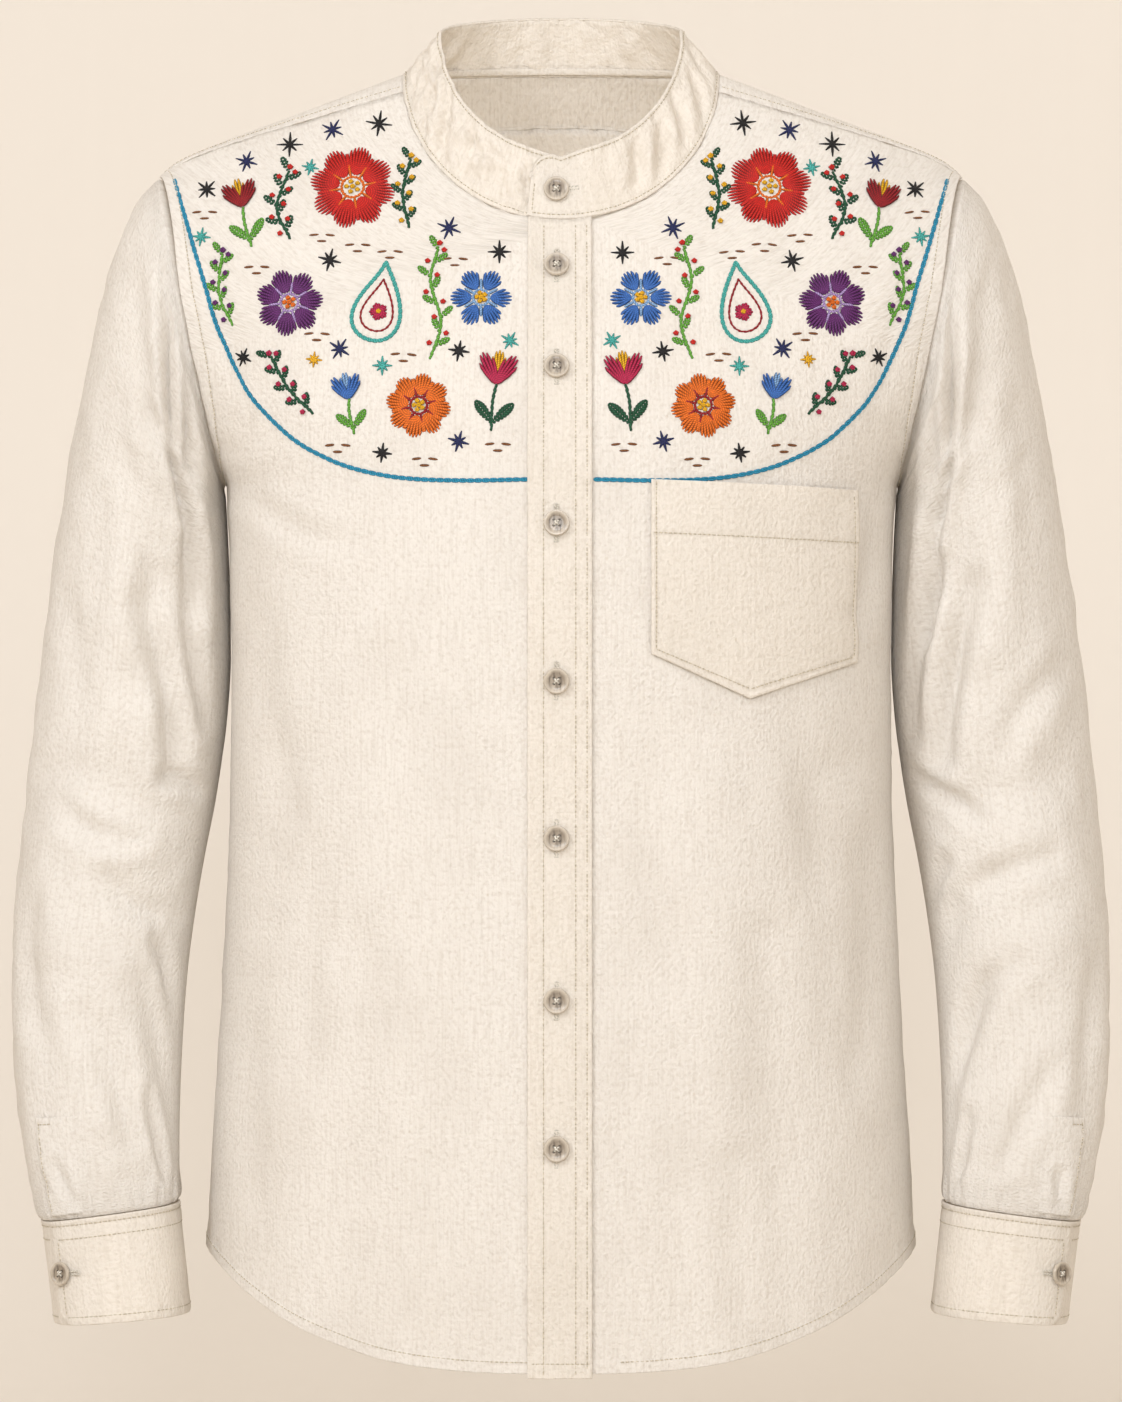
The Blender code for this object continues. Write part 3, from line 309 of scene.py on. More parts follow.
def rumple(across: Places, along: Places, strength: float) -> Places:
    """Soft unevenness of washed cloth at a place in millimetres, of about one strength.

    Args:
        across: Places across the cloth.
        along: Places along it.
        strength: How strong it is.

    Returns:
        The unevenness.
    """
    total = 0.0
    for length, turn, start in RUMPLE_WAVES:
        way = across * math.cos(turn) + along * math.sin(turn)
        cross = along * math.cos(turn) - across * math.sin(turn)
        bent = way + 0.22 * length * np.sin(cross * 2.0 * math.pi / (length * 1.9) + start)
        fade = 0.55 + 0.45 * np.sin(cross * 2.0 * math.pi / (length * 3.1) + 2.0 * start)
        total = total + np.sin(2.0 * math.pi * bent / length + start) * fade * length / 30.0
    return total * strength / 1.6


def fold_press(across: Places, along: Places, folds: tuple[Fold, ...],
               scales: tuple[float, float] = (1.0, 1.0), tapered: bool = False) -> Places:
    """Outward movement that folds give the cloth.

    Args:
        across: Places across the piece, in the folds' own terms.
        along: Places along the piece.
        folds: The folds.
        scales: Millimetres to each unit of across and along.
        tapered: Whether each fold fades towards its ends, with a low ridge on both sides.

    Returns:
        The movement at each place, below 0 in a trough.
    """
    moved = 0.0
    for fold in folds:
        start = np.multiply(fold.start, scales)
        run = np.multiply(fold.end, scales) - start
        length = math.hypot(*run)
        off_across = across * scales[0] - start[0]
        off_along = along * scales[1] - start[1]
        share = (off_across * run[0] + off_along * run[1]) / length ** 2
        held = np.clip(share, 0.0, 1.0)
        aside = (off_across * run[1] - off_along * run[0]) / length
        aside = aside - fold.bow * 4.0 * held * (1.0 - held)
        far = np.hypot(aside, (share - held) * length)
        press = bell(far, 0.0, fold.width)
        if tapered:
            press = press - 0.35 * bell(far, 1.7 * fold.width, fold.width)
            press = press * (0.25 + 0.75 * np.sin(math.pi * (0.08 + 0.84 * held)) ** 0.7)
        moved = moved - fold.depth * press
    return moved


def uneven(run: Places, seed: int, lengths: tuple[float, ...] = (7.3, 11.9, 19.7)) -> Places:
    """An uneven wave of about -1 to 1 along a run in millimetres.

    Args:
        run: Places along the run in millimetres.
        seed: What the waves' starts are drawn from.
        lengths: The waves' lengths in millimetres.

    Returns:
        The wave.
    """
    generator = np.random.default_rng(seed)
    total = 0.0
    for length in lengths:
        total = total + np.sin(2.0 * math.pi * run / length + generator.uniform(0.0, 6.28))
    return total / (0.6 * len(lengths))


def armhole_out(height: Places) -> Places:
    """How far out the armhole seam lies at a height."""
    return mix(ARMPIT_OUT, TIP_OUT, (height - ARMPIT_HEIGHT) / (TIP_HEIGHT - ARMPIT_HEIGHT))


def body_section(height: Places, face: Face) -> tuple[np.ndarray, np.ndarray, np.ndarray]:
    """Half width, depth and rounding share of the level section at a height.

    Args:
        height: Heights.
        face: Front or back.

    Returns:
        The three values.
    """
    height = np.asarray(height, float)
    depth = smooth_value(BODY_DEPTHS, face.value, height)
    above = smooth_value(SHOULDER_LINE, 1, height)
    below = smooth_value(SIDE_SEAM, 1, height)
    half = np.where(height >= TIP_HEIGHT, above, armhole_out(height))
    half = np.where(height <= ARMPIT_HEIGHT, below, half)
    level = np.clip((height - ARMHOLE_MIDDLE) / ARMHOLE_HALF_HEIGHT, -1.0, 1.0)
    reach = ARMHOLE_REACH[face] * np.sqrt(1.0 - level * level)
    return half, depth, 1.0 - (reach / depth) ** DEPTH_POWER


def body_excess(x: Places, y: Places, height: Places, face: Face) -> np.ndarray:
    """Below 0 inside the body's form, 0 on it and above 0 outside."""
    half, depth, share = body_section(height, face)
    return share * (np.abs(x) / half) ** SIDE_POWER + (np.abs(y) / depth) ** DEPTH_POWER - 1.0


def body_y(x: Places, height: Places, face: Face) -> np.ndarray:
    """Where the body's form lies, front or back, at a place seen from the front.

    Args:
        x: Distances from the middle.
        height: Heights.
        face: Front or back.

    Returns:
        The distance from the middle plane.
    """
    half, depth, share = body_section(height, face)
    rest = np.maximum(1.0 - share * (np.abs(x) / half) ** SIDE_POWER, 0.0)
    y = depth * rest ** (1.0 / DEPTH_POWER)
    return -y if face is Face.FRONT else y


def body_normal(x: Places, y: Places, height: Places, face: Face) -> np.ndarray:
    """Outward direction of the body's form.

    Args:
        x: Distances from the middle.
        y: Distances from the middle plane.
        height: Heights.
        face: Front or back.

    Returns:
        The directions.
    """
    half, depth, share = body_section(height, face)
    along_x = share * SIDE_POWER * np.abs(x) ** (SIDE_POWER - 1.0) / half ** SIDE_POWER
    along_y = DEPTH_POWER * np.abs(y) ** (DEPTH_POWER - 1.0) / depth ** DEPTH_POWER
    rise = body_excess(x, y, height + 1.5, face) - body_excess(x, y, height - 1.5, face)
    turned_y = -along_y if face is Face.FRONT else along_y
    return unit(np.stack([np.copysign(along_x, x), turned_y, rise / 3.0], axis=-1))


def body_cloth(x: Places, height: Places, face: Face, lift: Places = 0.0) -> Pair:
    """Points of the body's cloth and its outward directions.

    Args:
        x: Distances from the middle, with their sign.
        height: Heights.
        face: Front or back.
        lift: How far off the cloth the points are.

    Returns:
        The points and the outward directions.
    """
    x, height = np.broadcast_arrays(np.asarray(x, float), np.asarray(height, float))
    y = body_y(x, height, face)
    normal = body_normal(x, y, height, face)
    press = fold_press(np.abs(x), height, FORM_FOLDS[face])
    fine = fold_press(x, height, BODY_CREASES[face], tapered=True)
    press = press + fine * BODY_CREASE_DEPTH
    near_work = smooth_step((height + 250.0) / 30.0) * (1.0 if face is Face.FRONT else 0.3)
    press = press * smooth_step(np.abs(y) / 45.0) + rumple(x, height, 0.22) * (1.0 + near_work)
    point = np.stack([x, y, height], axis=-1)
    return point + normal * (press + lift)[..., None], normal


def top_height(x: Places, y: Places) -> np.ndarray:
    """Height of the body's form over a place in plan, for the shoulders.

    Args:
        x: Distances from the middle.
        y: Distances from the middle plane.

    Returns:
        The heights.
    """
    low = np.full(np.shape(x), -150.0)
    high = np.full(np.shape(x), NECK_SIDE_HEIGHT + NECK_BACK_RISE + 1.0)
    for _ in range(34):
        middle = (low + high) / 2.0
        excess = np.where(np.asarray(y) < 0.0, body_excess(x, y, middle, Face.FRONT),
                          body_excess(x, y, middle, Face.BACK))
        high = np.where(excess > 0.0, middle, high)
        low = np.where(excess > 0.0, low, middle)
    return (low + high) / 2.0


def armhole_point(angle: Places) -> np.ndarray:
    """Armhole seam on the left side: 0 at the tip, 90 in front, 180 at the armpit.

    Args:
        angle: Angles in degrees.

    Returns:
        The points.
    """
    turn = np.radians(angle)
    height = ARMHOLE_MIDDLE + ARMHOLE_HALF_HEIGHT * np.cos(turn)
    reach = np.where(np.sin(turn) >= 0.0, ARMHOLE_REACH[Face.FRONT], ARMHOLE_REACH[Face.BACK])
    return np.stack([armhole_out(height), -reach * np.sin(turn), height], axis=-1)


def height_angle(height: float) -> float:
    """Angle round the armhole of a height, counted from the tip."""
    return math.degrees(math.acos((height - ARMHOLE_MIDDLE) / ARMHOLE_HALF_HEIGHT))


def yoke_front_height(out: Places) -> np.ndarray:
    """Height of the yoke's front seam, which lies forward of the shoulder line."""
    line = SHOULDER_LINE[::-1, ::-1]
    return smooth_value(line, 1, out) - smooth_value(YOKE_FRONT_DROPS, 1, out)


def yoke_back_height(out: Places) -> np.ndarray:
    """Height of the yoke's back seam."""
    share = (np.abs(out) / armhole_out(YOKE_BACK_SIDE)) ** YOKE_BACK_POWER
    return mix(YOKE_BACK_MIDDLE, YOKE_BACK_SIDE, share)


def hem_height(out: Places) -> Places:
    """Height of the shirt-tail hem."""
    return HEM_MIDDLE + HEM_SIDE_RISE * (np.abs(out) / HEM_SIDE_OUT) ** HEM_CURVE_POWER


def neck_place(angle: Places) -> Pair:
    """Neck seam seen from the front: 0 at the front, 90 at the left side, 180 at the back.

    Args:
        angle: Angles in degrees.

    Returns:
        Distance from the middle and height.
    """
    turn = np.radians(angle)
    travel = np.where(np.cos(turn) > 0.0, NECK_FRONT_DROP, NECK_BACK_RISE)
    return NECK_HALF_WIDTH * np.sin(turn), NECK_SIDE_HEIGHT - travel * np.cos(turn)


def neck_point(angle: Places) -> np.ndarray:
    """Neck seam on the body's form.

    Args:
        angle: Angles in degrees.

    Returns:
        The points.
    """
    out, height = neck_place(angle)
    forward = np.cos(np.radians(angle)) > 0.0
    y = np.where(forward, body_y(out, height, Face.FRONT), body_y(out, height, Face.BACK))
    return np.stack([out, y, height], axis=-1)


YOKE_FRONT_ANGLE = math.degrees(math.acos((NECK_SIDE_HEIGHT - float(yoke_front_height(88.3)))
                                          / NECK_FRONT_DROP))
TIP_FRONT_ANGLE = height_angle(float(yoke_front_height(TIP_OUT - 0.4)))
YOKE_BACK_ANGLE = 360.0 - height_angle(YOKE_BACK_SIDE)


def lower_place(column: Places, row: Places, inner: float) -> Pair:
    """Place seen from the front between the hem and the armpit level.

    Args:
        column: Shares of the way to the side seam.
        row: How far up the piece.
        inner: Distance of the front edge from the middle.

    Returns:
        Distance from the middle and height.
    """
    level = mix(HEM_MIDDLE + HEM_SIDE_RISE, ARMPIT_HEIGHT, row)
    out = 0.0
    for _ in range(4):
        side = smooth_value(SIDE_SEAM, 1, level)
        out = mix(inner, side, column)
        level = mix(hem_height(out), ARMPIT_HEIGHT, row)
    return out, level


def front_place(row: Places, even: Places, inner: float) -> Pair:
    """Place on a front: row 0 at the hem, 1 at the armpit level and 2 at the yoke's seam.

    Args:
        row: How far up the front.
        even: 0 at the front edge and the neck, 1 at the side seam and the armhole.
        inner: Distance of the front edge from the middle.

    Returns:
        Distance from the middle and height.
    """
    row, even = np.broadcast_arrays(np.asarray(row, float), np.asarray(even, float))
    eased = np.sin(even * math.pi / 2.0)
    low_out, low_height = lower_place(eased, np.clip(row, 0.0, 1.0), inner)
    rise = np.clip(row - 1.0, 0.0, 1.0)
    edge_share = 6.0 / 13.0
    start_angle = math.degrees(math.asin(inner / NECK_HALF_WIDTH))
    neck_rise = np.clip((rise - edge_share) / (1.0 - edge_share), 0.0, 1.0)
    neck_out, neck_height = neck_place(mix(start_angle, YOKE_FRONT_ANGLE, neck_rise))
    edge_height = mix(ARMPIT_HEIGHT, neck_place(start_angle)[1], rise / edge_share)
    inner_out = np.where(rise < edge_share, inner, neck_out)
    inner_height = np.where(rise < edge_share, edge_height, neck_height)
    outer = armhole_point(mix(180.0, TIP_FRONT_ANGLE, rise))
    share = mix(eased, even, smooth_step(rise * 1.6))
    out = mix(inner_out, outer[..., 0], share)
    height = mix(inner_height, outer[..., 2], share)
    corner_out, corner_height = neck_place(YOKE_FRONT_ANGLE)
    straight = mix(corner_height, outer[..., 2], share)
    seam = yoke_front_height(np.maximum(out, corner_out))
    height = height + (seam - straight) * np.maximum(rise - 0.6, 0.0) / 0.4
    return np.where(row < 1.0, low_out, out), np.where(row < 1.0, low_height, height)


def back_place(row: Places, even: Places) -> Pair:
    """Place on the back's left half, with rows and columns as on a front.

    Args:
        row: How far up the piece.
        even: Shares of the way to the side.

    Returns:
        Distance from the middle and height.
    """
    row, even = np.broadcast_arrays(np.asarray(row, float), np.asarray(even, float))
    eased = np.sin(even * math.pi / 2.0)
    low_out, low_height = lower_place(eased, np.clip(row, 0.0, 1.0), 0.0)
    rise = np.clip(row - 1.0, 0.0, 1.0)
    outer = armhole_point(mix(180.0, YOKE_BACK_ANGLE, rise))
    share = mix(eased, even, smooth_step(rise))
    out = outer[..., 0] * share
    height = mix(ARMPIT_HEIGHT, yoke_back_height(out), rise)
    height = height + (outer[..., 2] - mix(ARMPIT_HEIGHT, YOKE_BACK_SIDE, rise)) * share ** 4
    return np.where(row < 1.0, low_out, out), np.where(row < 1.0, low_height, height)


def rim_point(angle: Places) -> np.ndarray:
    """Top edge of the collar band.

    Args:
        angle: Angles in degrees.

    Returns:
        The points.
    """
    turn = np.radians(angle)
    along = np.cos(turn)
    off_middle = np.abs((angle + 180.0) % 360.0 - 180.0)
    dip = 1.0 - RIM_DIP_SHARE * np.tanh(off_middle / RIM_DIP_ANGLE)
    travel = np.where(along > 0.0, RIM_FRONT_DROP * dip, RIM_BACK_RISE)
    height = RIM_SIDE_HEIGHT - travel * along
    return np.stack([RIM_HALF_WIDTH * np.sin(turn), RIM_MIDDLE_DEPTH - RIM_HALF_DEPTH * along,
                     height], axis=-1)


def collar_base(angle: Places, share: Places) -> np.ndarray:
    """Points of the collar band before its layers part: share 0 at the seam, 1 at the rim."""
    angle, share = np.broadcast_arrays(np.asarray(angle, float), np.asarray(share, float))
    return mix(neck_point(angle), rim_point(angle), share[..., None])


def collar_cloth(angle: Places, share: Places, lift: Places = 0.0) -> Pair:
    """Points of the collar band's outer face and its outward directions.

    Args:
        angle: Angles in degrees.
        share: Shares of the way across.
        lift: How far off the cloth the points are.

    Returns:
        The points and the directions.
    """
    point = collar_base(angle, share)
    beside = collar_base(angle + 1.0, share) - point
    above = collar_base(angle, share + 0.05) - point
    normal = unit(np.cross(beside, above))
    over = COLLAR_LAYERS * (1.0 - smooth_step((angle - 10.0) / 22.0))
    under = 0.5 * smooth_step((angle - 325.0) / 22.0)
    run, up = np.radians(angle) * 80.0, share * 38.0
    press = fold_press(run, up, COLLAR_CREASES, tapered=True) * COLLAR_CREASE_DEPTH
    # The band is crumpled most on the wearer's right, and again beside the tab
    crumpled = 0.30 + 1.40 * smooth_step((angle - 250.0) / 40.0)
    crumpled = crumpled + 0.25 * bell(angle, 38.0, 22.0)
    press = press + rumple(run * 2.1 + up * 0.9, up * 1.9 - run * 0.5, 1.5) * crumpled
    press = press * (0.12 + 0.88 * np.sin(math.pi * np.clip(share, 0.0, 1.0)) ** 0.7)
    moved = over - under + press * smooth_step((angle - 8.0) / 14.0) + lift
    return point + normal * np.broadcast_to(moved, point.shape[:-1])[..., None], normal


# Diagonal puckers of the collar band: run round it and height up it in millimetres
COLLAR_CREASES = fold_rows(
    (40, 8, 50, 30, 4, 0.9, 1), (56, 4, 70, 26, 4.5, 1.1, -1), (78, 10, 86, 34, 4, 0.9, 1),
    (94, 3, 108, 24, 5, 1, 1.5), (116, 12, 124, 34, 4.5, 0.8, -1), (150, 6, 160, 30, 6, 0.7, 1),
    (210, 8, 204, 32, 6, 0.7, 1), (262, 6, 268, 32, 6, 0.6, 1), (330, 8, 322, 32, 6, 0.7, -1),
    (378, 28, 390, 6, 4.5, 0.9, 1), (398, 32, 412, 8, 4, 1.1, -1), (420, 28, 432, 4, 4.5, 1.2, 1),
    (444, 30, 452, 10, 4, 1, 1), (462, 26, 472, 6, 4, 0.9, -1), (480, 28, 488, 10, 3.5, 0.7, 1),
)


def ring_point(row: np.ndarray, angle: Places) -> np.ndarray:
    """Points of a rounded section: 0 outer side, 90 front, 180 inner side, 270 back.

    Args:
        row: Rows of a table of sections.
        angle: Angles in degrees.

    Returns:
        The points.
    """
    turn = np.radians(angle)
    power = 2.0 / row[..., 6]
    across = np.copysign(np.abs(np.cos(turn)) ** power, np.cos(turn))
    forward = np.copysign(np.abs(np.sin(turn)) ** power, np.sin(turn))
    share = (1.0 + across) / 2.0
    return np.stack([mix(row[..., 2], row[..., 0], share), row[..., 4] - row[..., 5] * forward,
                     mix(row[..., 3], row[..., 1], share)], axis=-1)


SLEEVE_ROWS = np.column_stack([np.arange(len(SLEEVE_TABLE)), SLEEVE_TABLE])


def sleeve_row(place: Places) -> np.ndarray:
    """The sleeve table read at places between its rows."""
    return np.stack([smooth_value(SLEEVE_ROWS, name, place) for name in range(1, 8)], axis=-1)


def sleeve_cloth(angle: Places, place: Places, side: Side, lift: Places = 0.0) -> Pair:
    """Points of a sleeve's outer face and its outward directions, as on the left side.

    Args:
        angle: Angles in degrees.
        place: Rows of the sleeve's table.
        side: The wearer's side.
        lift: How far off the cloth the points are.

    Returns:
        The points and the directions.
    """
    angle, place = np.broadcast_arrays(np.asarray(angle, float), np.asarray(place, float))
    row = sleeve_row(place)
    point = ring_point(row, angle)
    beside = ring_point(row, angle + 1.0) - point
    step = np.where(place < 15.0, 0.05, -0.05)
    along = ring_point(sleeve_row(place + step), angle) - point
    normal = unit(np.cross(beside, along))
    middle = np.stack([(row[..., 0] + row[..., 2]) / 2.0, row[..., 4]], axis=-1)
    inward = np.sum((middle - point[..., :2]) * normal[..., :2], axis=-1)
    normal = np.where(inward[..., None] > 0.0, -normal, normal)
    scales = (math.radians(SLEEVE_FOLD_RADIUS), SLEEVE_ROW_LENGTH)
    spot = angle % 360.0
    moved = fold_press(spot, place, SLEEVE_FOLDS, scales)
    fine = fold_press(spot, place, SLEEVE_CREASES[side], scales, tapered=True)
    moved = moved + fine * SLEEVE_CREASE_DEPTH
    run = np.minimum(spot, 360.0 - spot) * scales[0]
    moved = moved + rumple(run + 300.0 * side.value, place * 34.0, 0.5)
    away = smooth_step(place / 1.5) * smooth_step((16.0 - place) / 1.2)
    from_body = smooth_step((np.cos(np.radians(angle)) + 1.0) / 0.25)
    moved = moved + CAP_FULLNESS * bell(place, 1.6, 1.1)
    moved = moved * away * from_body + lift
    return point + normal * moved[..., None], normal


def cuff_base(angle: np.ndarray, share: np.ndarray) -> np.ndarray:
    """Points of the cuff before its layers part: share 0 at the top, 1 at the foot.

    Args:
        angle: Angles in degrees.
        share: Shares of the way across.

    Returns:
        The points.
    """
    top = ring_point(np.broadcast_to(CUFF_TOP, angle.shape + (7,)), angle)
    foot = ring_point(np.broadcast_to(CUFF_FOOT, angle.shape + (7,)), angle)
    return mix(top, foot, share[..., None])


def cuff_cloth(angle: Places, share: Places, lift: Places = 0.0) -> Pair:
    """Points of the left cuff's outer face and its outward directions.

    Args:
        angle: Angles in degrees.
        share: Shares of the way across.
        lift: How far off the cloth the points are.

    Returns:
        The points and the directions.
    """
    angle, share = np.broadcast_arrays(np.asarray(angle, float), np.asarray(share, float))

    point = cuff_base(angle, share)
    beside = cuff_base(angle + 1.0, share) - point
    normal = -unit(np.cross(beside, cuff_base(angle, share + 0.05) - point))
    out = point[..., :2] - np.array(((CUFF_TOP[0] + CUFF_TOP[2]) / 2.0, CUFF_TOP[4] - 4.0))
    facing = np.sum(out * normal[..., :2], axis=-1)
    normal = np.where(facing[..., None] < 0.0, -normal, normal)
    under = COLLAR_LAYERS * smooth_step((angle - (CUFF_EDGE_ANGLE + 305.0)) / 40.0)
    return point + normal * (lift - under)[..., None], normal


def linear(colour: str) -> tuple[float, float, float, float]:
    """Linear values of an sRGB hex colour."""
    parts = [int(colour[place:place + 2], 16) / 255.0 for place in (1, 3, 5)]
    return (*(part / 12.92 if part <= 0.04045 else ((part + 0.055) / 1.055) ** 2.4
              for part in parts), 1.0)


def set_inputs(tree: bpy.types.NodeTree, node: bpy.types.Node, inputs: dict) -> None:
    """Set or link a node's inputs.

    Args:
        tree: The node tree.
        node: The node.
        inputs: A value or an output socket for each input, by name or number.
    """
    for name, value in inputs.items():
        if isinstance(value, bpy.types.NodeSocket):
            tree.links.new(value, node.inputs[name])
        else:
            node.inputs[name].default_value = value


def add_node(tree: bpy.types.NodeTree, kind: str, inputs: dict | None = None,
             **settings: object) -> bpy.types.Node:
    """Add a node with its settings, and set or link its inputs.

    Args:
        tree: The node tree.
        kind: The node's type.
        inputs: A value or an output socket for each input, by name or number.
        **settings: The node's own attributes.

    Returns:
        The node.
    """
    node = tree.nodes.new(kind)
    for name, value in settings.items():
        setattr(node, name, value)
    set_inputs(tree, node, inputs or {})
    return node


def blend_colours(tree: bpy.types.NodeTree, share: Input, first: Input, second: Input) -> Socket:
    """Colour output of two colours mixed by a share."""
    return add_node(tree, "ShaderNodeMix", {0: share, 6: first, 7: second},
                    data_type="RGBA").outputs[2]


def start_material(name: str) -> tuple[bpy.types.Material, bpy.types.NodeTree, bpy.types.Node]:
    """A new material with its node tree and its shader.

    Args:
        name: Its name.

    Returns:
        The three of them.
    """
    material = bpy.data.materials.new(name)
    material.use_nodes = True
    tree = material.node_tree
    return material, tree, tree.nodes["Principled BSDF"]


def stretched_noise(tree: bpy.types.NodeTree, vector: Socket, across_mm: float, along_mm: float,
                    detail: float) -> Socket:
    """Noise whose grains have a real size across and along the cloth.

    Args:
        tree: The node tree.
        vector: Places on the cloth.
        across_mm: A grain's width.
        along_mm: Its length.
        detail: How much finer grain there is.

    Returns:
        The noise.
    """
    scale = (1000.0 / across_mm, 1000.0 / along_mm, 1.0)
    mapping = add_node(tree, "ShaderNodeMapping", {"Vector": vector, "Scale": scale})
    noise = add_node(tree, "ShaderNodeTexNoise",
                     {"Vector": mapping.outputs[0], "Scale": 1.0, "Detail": detail})
    return noise.outputs[0]


def ramp(tree: bpy.types.NodeTree, value: Socket, low: float, high: float, to_low: float = 0.0,
         to_high: float = 1.0) -> Socket:
    """A value between two limits, spread over a new range."""
    node = add_node(tree, "ShaderNodeMapRange",
                    {"Value": value, "From Min": low, "From Max": high,
                     "To Min": to_low, "To Max": to_high})
    return node.outputs[0]


def dye(tree: bpy.types.NodeTree, colour: Input, value: Socket, limits: tuple[float, float],
        amount: float, dyed: Input) -> Socket:
    """A colour with another laid over it, as a value goes from the first limit to the second."""
    return blend_colours(tree, ramp(tree, value, *limits, 0.0, amount), colour, dyed)


def darker(colour: tuple[float, ...], share: float) -> tuple[float, ...]:
    """A colour that keeps a share of its light."""
    return tuple(part * share for part in colour[:3]) + (1.0,)


def raised(tree: bpy.types.NodeTree, height: Socket, strength: float, distance_mm: float,
           below: Socket | None = None) -> Socket:
    """Normal output of a bump, over another one where it is given.

    Args:
        tree: The node tree.
        height: What the bump follows.
        strength: How strong it is.
        distance_mm: How high it is.
        below: The normal under it.

    Returns:
        The normal.
    """
    inputs = {"Height": height, "Strength": strength, "Distance": distance_mm * METRES_PER_MM}
    if below is not None:
        inputs["Normal"] = below
    return add_node(tree, "ShaderNodeBump", inputs).outputs[0]


def show_mixed(tree: bpy.types.NodeTree, share: Input, first: bpy.types.Node,
               second: bpy.types.Node) -> None:
    """Show two shaders mixed by a share."""
    both = add_node(tree, "ShaderNodeMixShader",
                    {0: share, 1: first.outputs[0], 2: second.outputs[0]})
    tree.links.new(both.outputs[0], tree.nodes["Material Output"].inputs["Surface"])


@dataclass(frozen=True)
class CottonShirting:
    """Plain-woven unbleached cotton, washed: matt, with thick and thin yarns that show as
    soft upright streaks, a crepe-like surface and a few tan flecks of seed."""

    name: str
    colour: str
    # A darker tone of the cloth: random clouds and upright streaks, and painted shade in the crepe's
    # hollows
    shade: str
    fleck: str = "#B79B6C"
    slub_mm: tuple[float, float] = (1.3, 30.0)
    # The yarns are 0.3 mm apart, too fine to show, so the crepe surface is drawn 2 mm coarse
    crepe_mm: float = 2.0
    cloud_mm: tuple[float, float] = (60.0, 90.0)
    fleck_mm: tuple[float, float] = (2.4, 3.4)
    # Share of the light that passes through the cloth
    thinness: float = 0.22

    def make(self) -> bpy.types.Material:
        """Make the material.

        Returns:
            The material.
        """
        material, tree, shader = start_material(self.name)
        grain = add_node(tree, "ShaderNodeUVMap", uv_map=GRAIN_LAYER).outputs[0]
        upright = stretched_noise(tree, grain, *self.slub_mm, 2.0)
        level = stretched_noise(tree, grain, self.slub_mm[1] * 0.7, self.slub_mm[0], 2.0)
        crepe = stretched_noise(tree, grain, self.crepe_mm, self.crepe_mm * 1.3, 2.0)
        cloud = stretched_noise(tree, grain, *self.cloud_mm, 1.0)
        flecks = stretched_noise(tree, grain, *self.fleck_mm, 0.0)
        shade = linear(self.shade)
        colour = dye(tree, linear(self.colour), cloud, (0.5, 0.3), 0.22, shade)
        colour = dye(tree, colour, upright, (0.55, 0.30), 0.40, shade)
        # Painted shade: the crepe's hollows are darkened in colour as well as bumped
        colour = dye(tree, colour, crepe, (0.50, 0.32), 0.55, shade)
        colour = dye(tree, colour, flecks, (0.80, 0.87), 0.16, linear(self.fleck))
        yarns = add_node(tree, "ShaderNodeMath", {0: upright, 1: level}, operation="ADD")
        weave = raised(tree, yarns.outputs[0], 0.5, 0.3)
        normal = raised(tree, crepe, 1.0, 1.1, weave)
        set_inputs(tree, shader, {
            "Base Color": colour, "Normal": normal, "Roughness": 0.92,
            "Specular IOR Level": 0.25, "Sheen Weight": 0.12, "Sheen Roughness": 0.5})
        thin = add_node(tree, "ShaderNodeBsdfTranslucent", {"Color": colour})
        show_mixed(tree, self.thinness, shader, thin)
        return material


@dataclass(frozen=True)
class StrandedCotton:
    """Mercerised cotton thread of loosely twisted strands: clear colour, a soft gloss along
    it and fine slanting lines of the twist."""

    name: str
    colour: str
    # A twist is 0.6 mm long in the thread, drawn 1.1 mm so that it shows
    twist_mm: float = 1.1
    twist_degrees: float = 38.0
    # Between strands lies a fine shadow, drawn as a darker edge from 0.36 mm off the middle
    gap_shade: float = 0.9
    gap_limits: tuple[float, float] = (0.00036, 0.00078)

    def make(self) -> bpy.types.Material:
        """Make the material.

        Returns:
            The material.
        """
        material, tree, shader = start_material(self.name)
        grain = add_node(tree, "ShaderNodeUVMap", uv_map=GRAIN_LAYER).outputs[0]
        turned = add_node(tree, "ShaderNodeMapping", {
            "Vector": grain, "Rotation": (0.0, 0.0, math.radians(self.twist_degrees))})
        twist = add_node(tree, "ShaderNodeTexWave", {
            "Vector": turned.outputs[0], "Scale": 314.0 / self.twist_mm, "Distortion": 1.0,
            "Detail": 1.0}).outputs[1]
        colour = linear(self.colour)
        # Painted shade: the grooves of the twist and random patches along the strands are drawn in a
        # darker colour
        twist_and_strand_shade = darker(colour, 0.45)
        tint = dye(tree, twist_and_strand_shade, twist, (0.1, 0.8), 1.0, colour)
        strand = stretched_noise(tree, grain, 3.1, 2.3, 1.0)
        tint = dye(tree, tint, strand, (0.58, 0.36), 0.6, twist_and_strand_shade)
        across = add_node(tree, "ShaderNodeSeparateXYZ", {0: grain}).outputs["Y"]
        off_middle = add_node(tree, "ShaderNodeMath", {0: across}, operation="ABSOLUTE")
        tint = dye(tree, tint, off_middle.outputs[0], self.gap_limits, self.gap_shade,
                   darker(colour, 0.12))
        set_inputs(tree, shader, {
            "Base Color": tint, "Normal": raised(tree, twist, 0.5, 0.2), "Roughness": 0.55,
            "Specular IOR Level": 0.3})
        return material


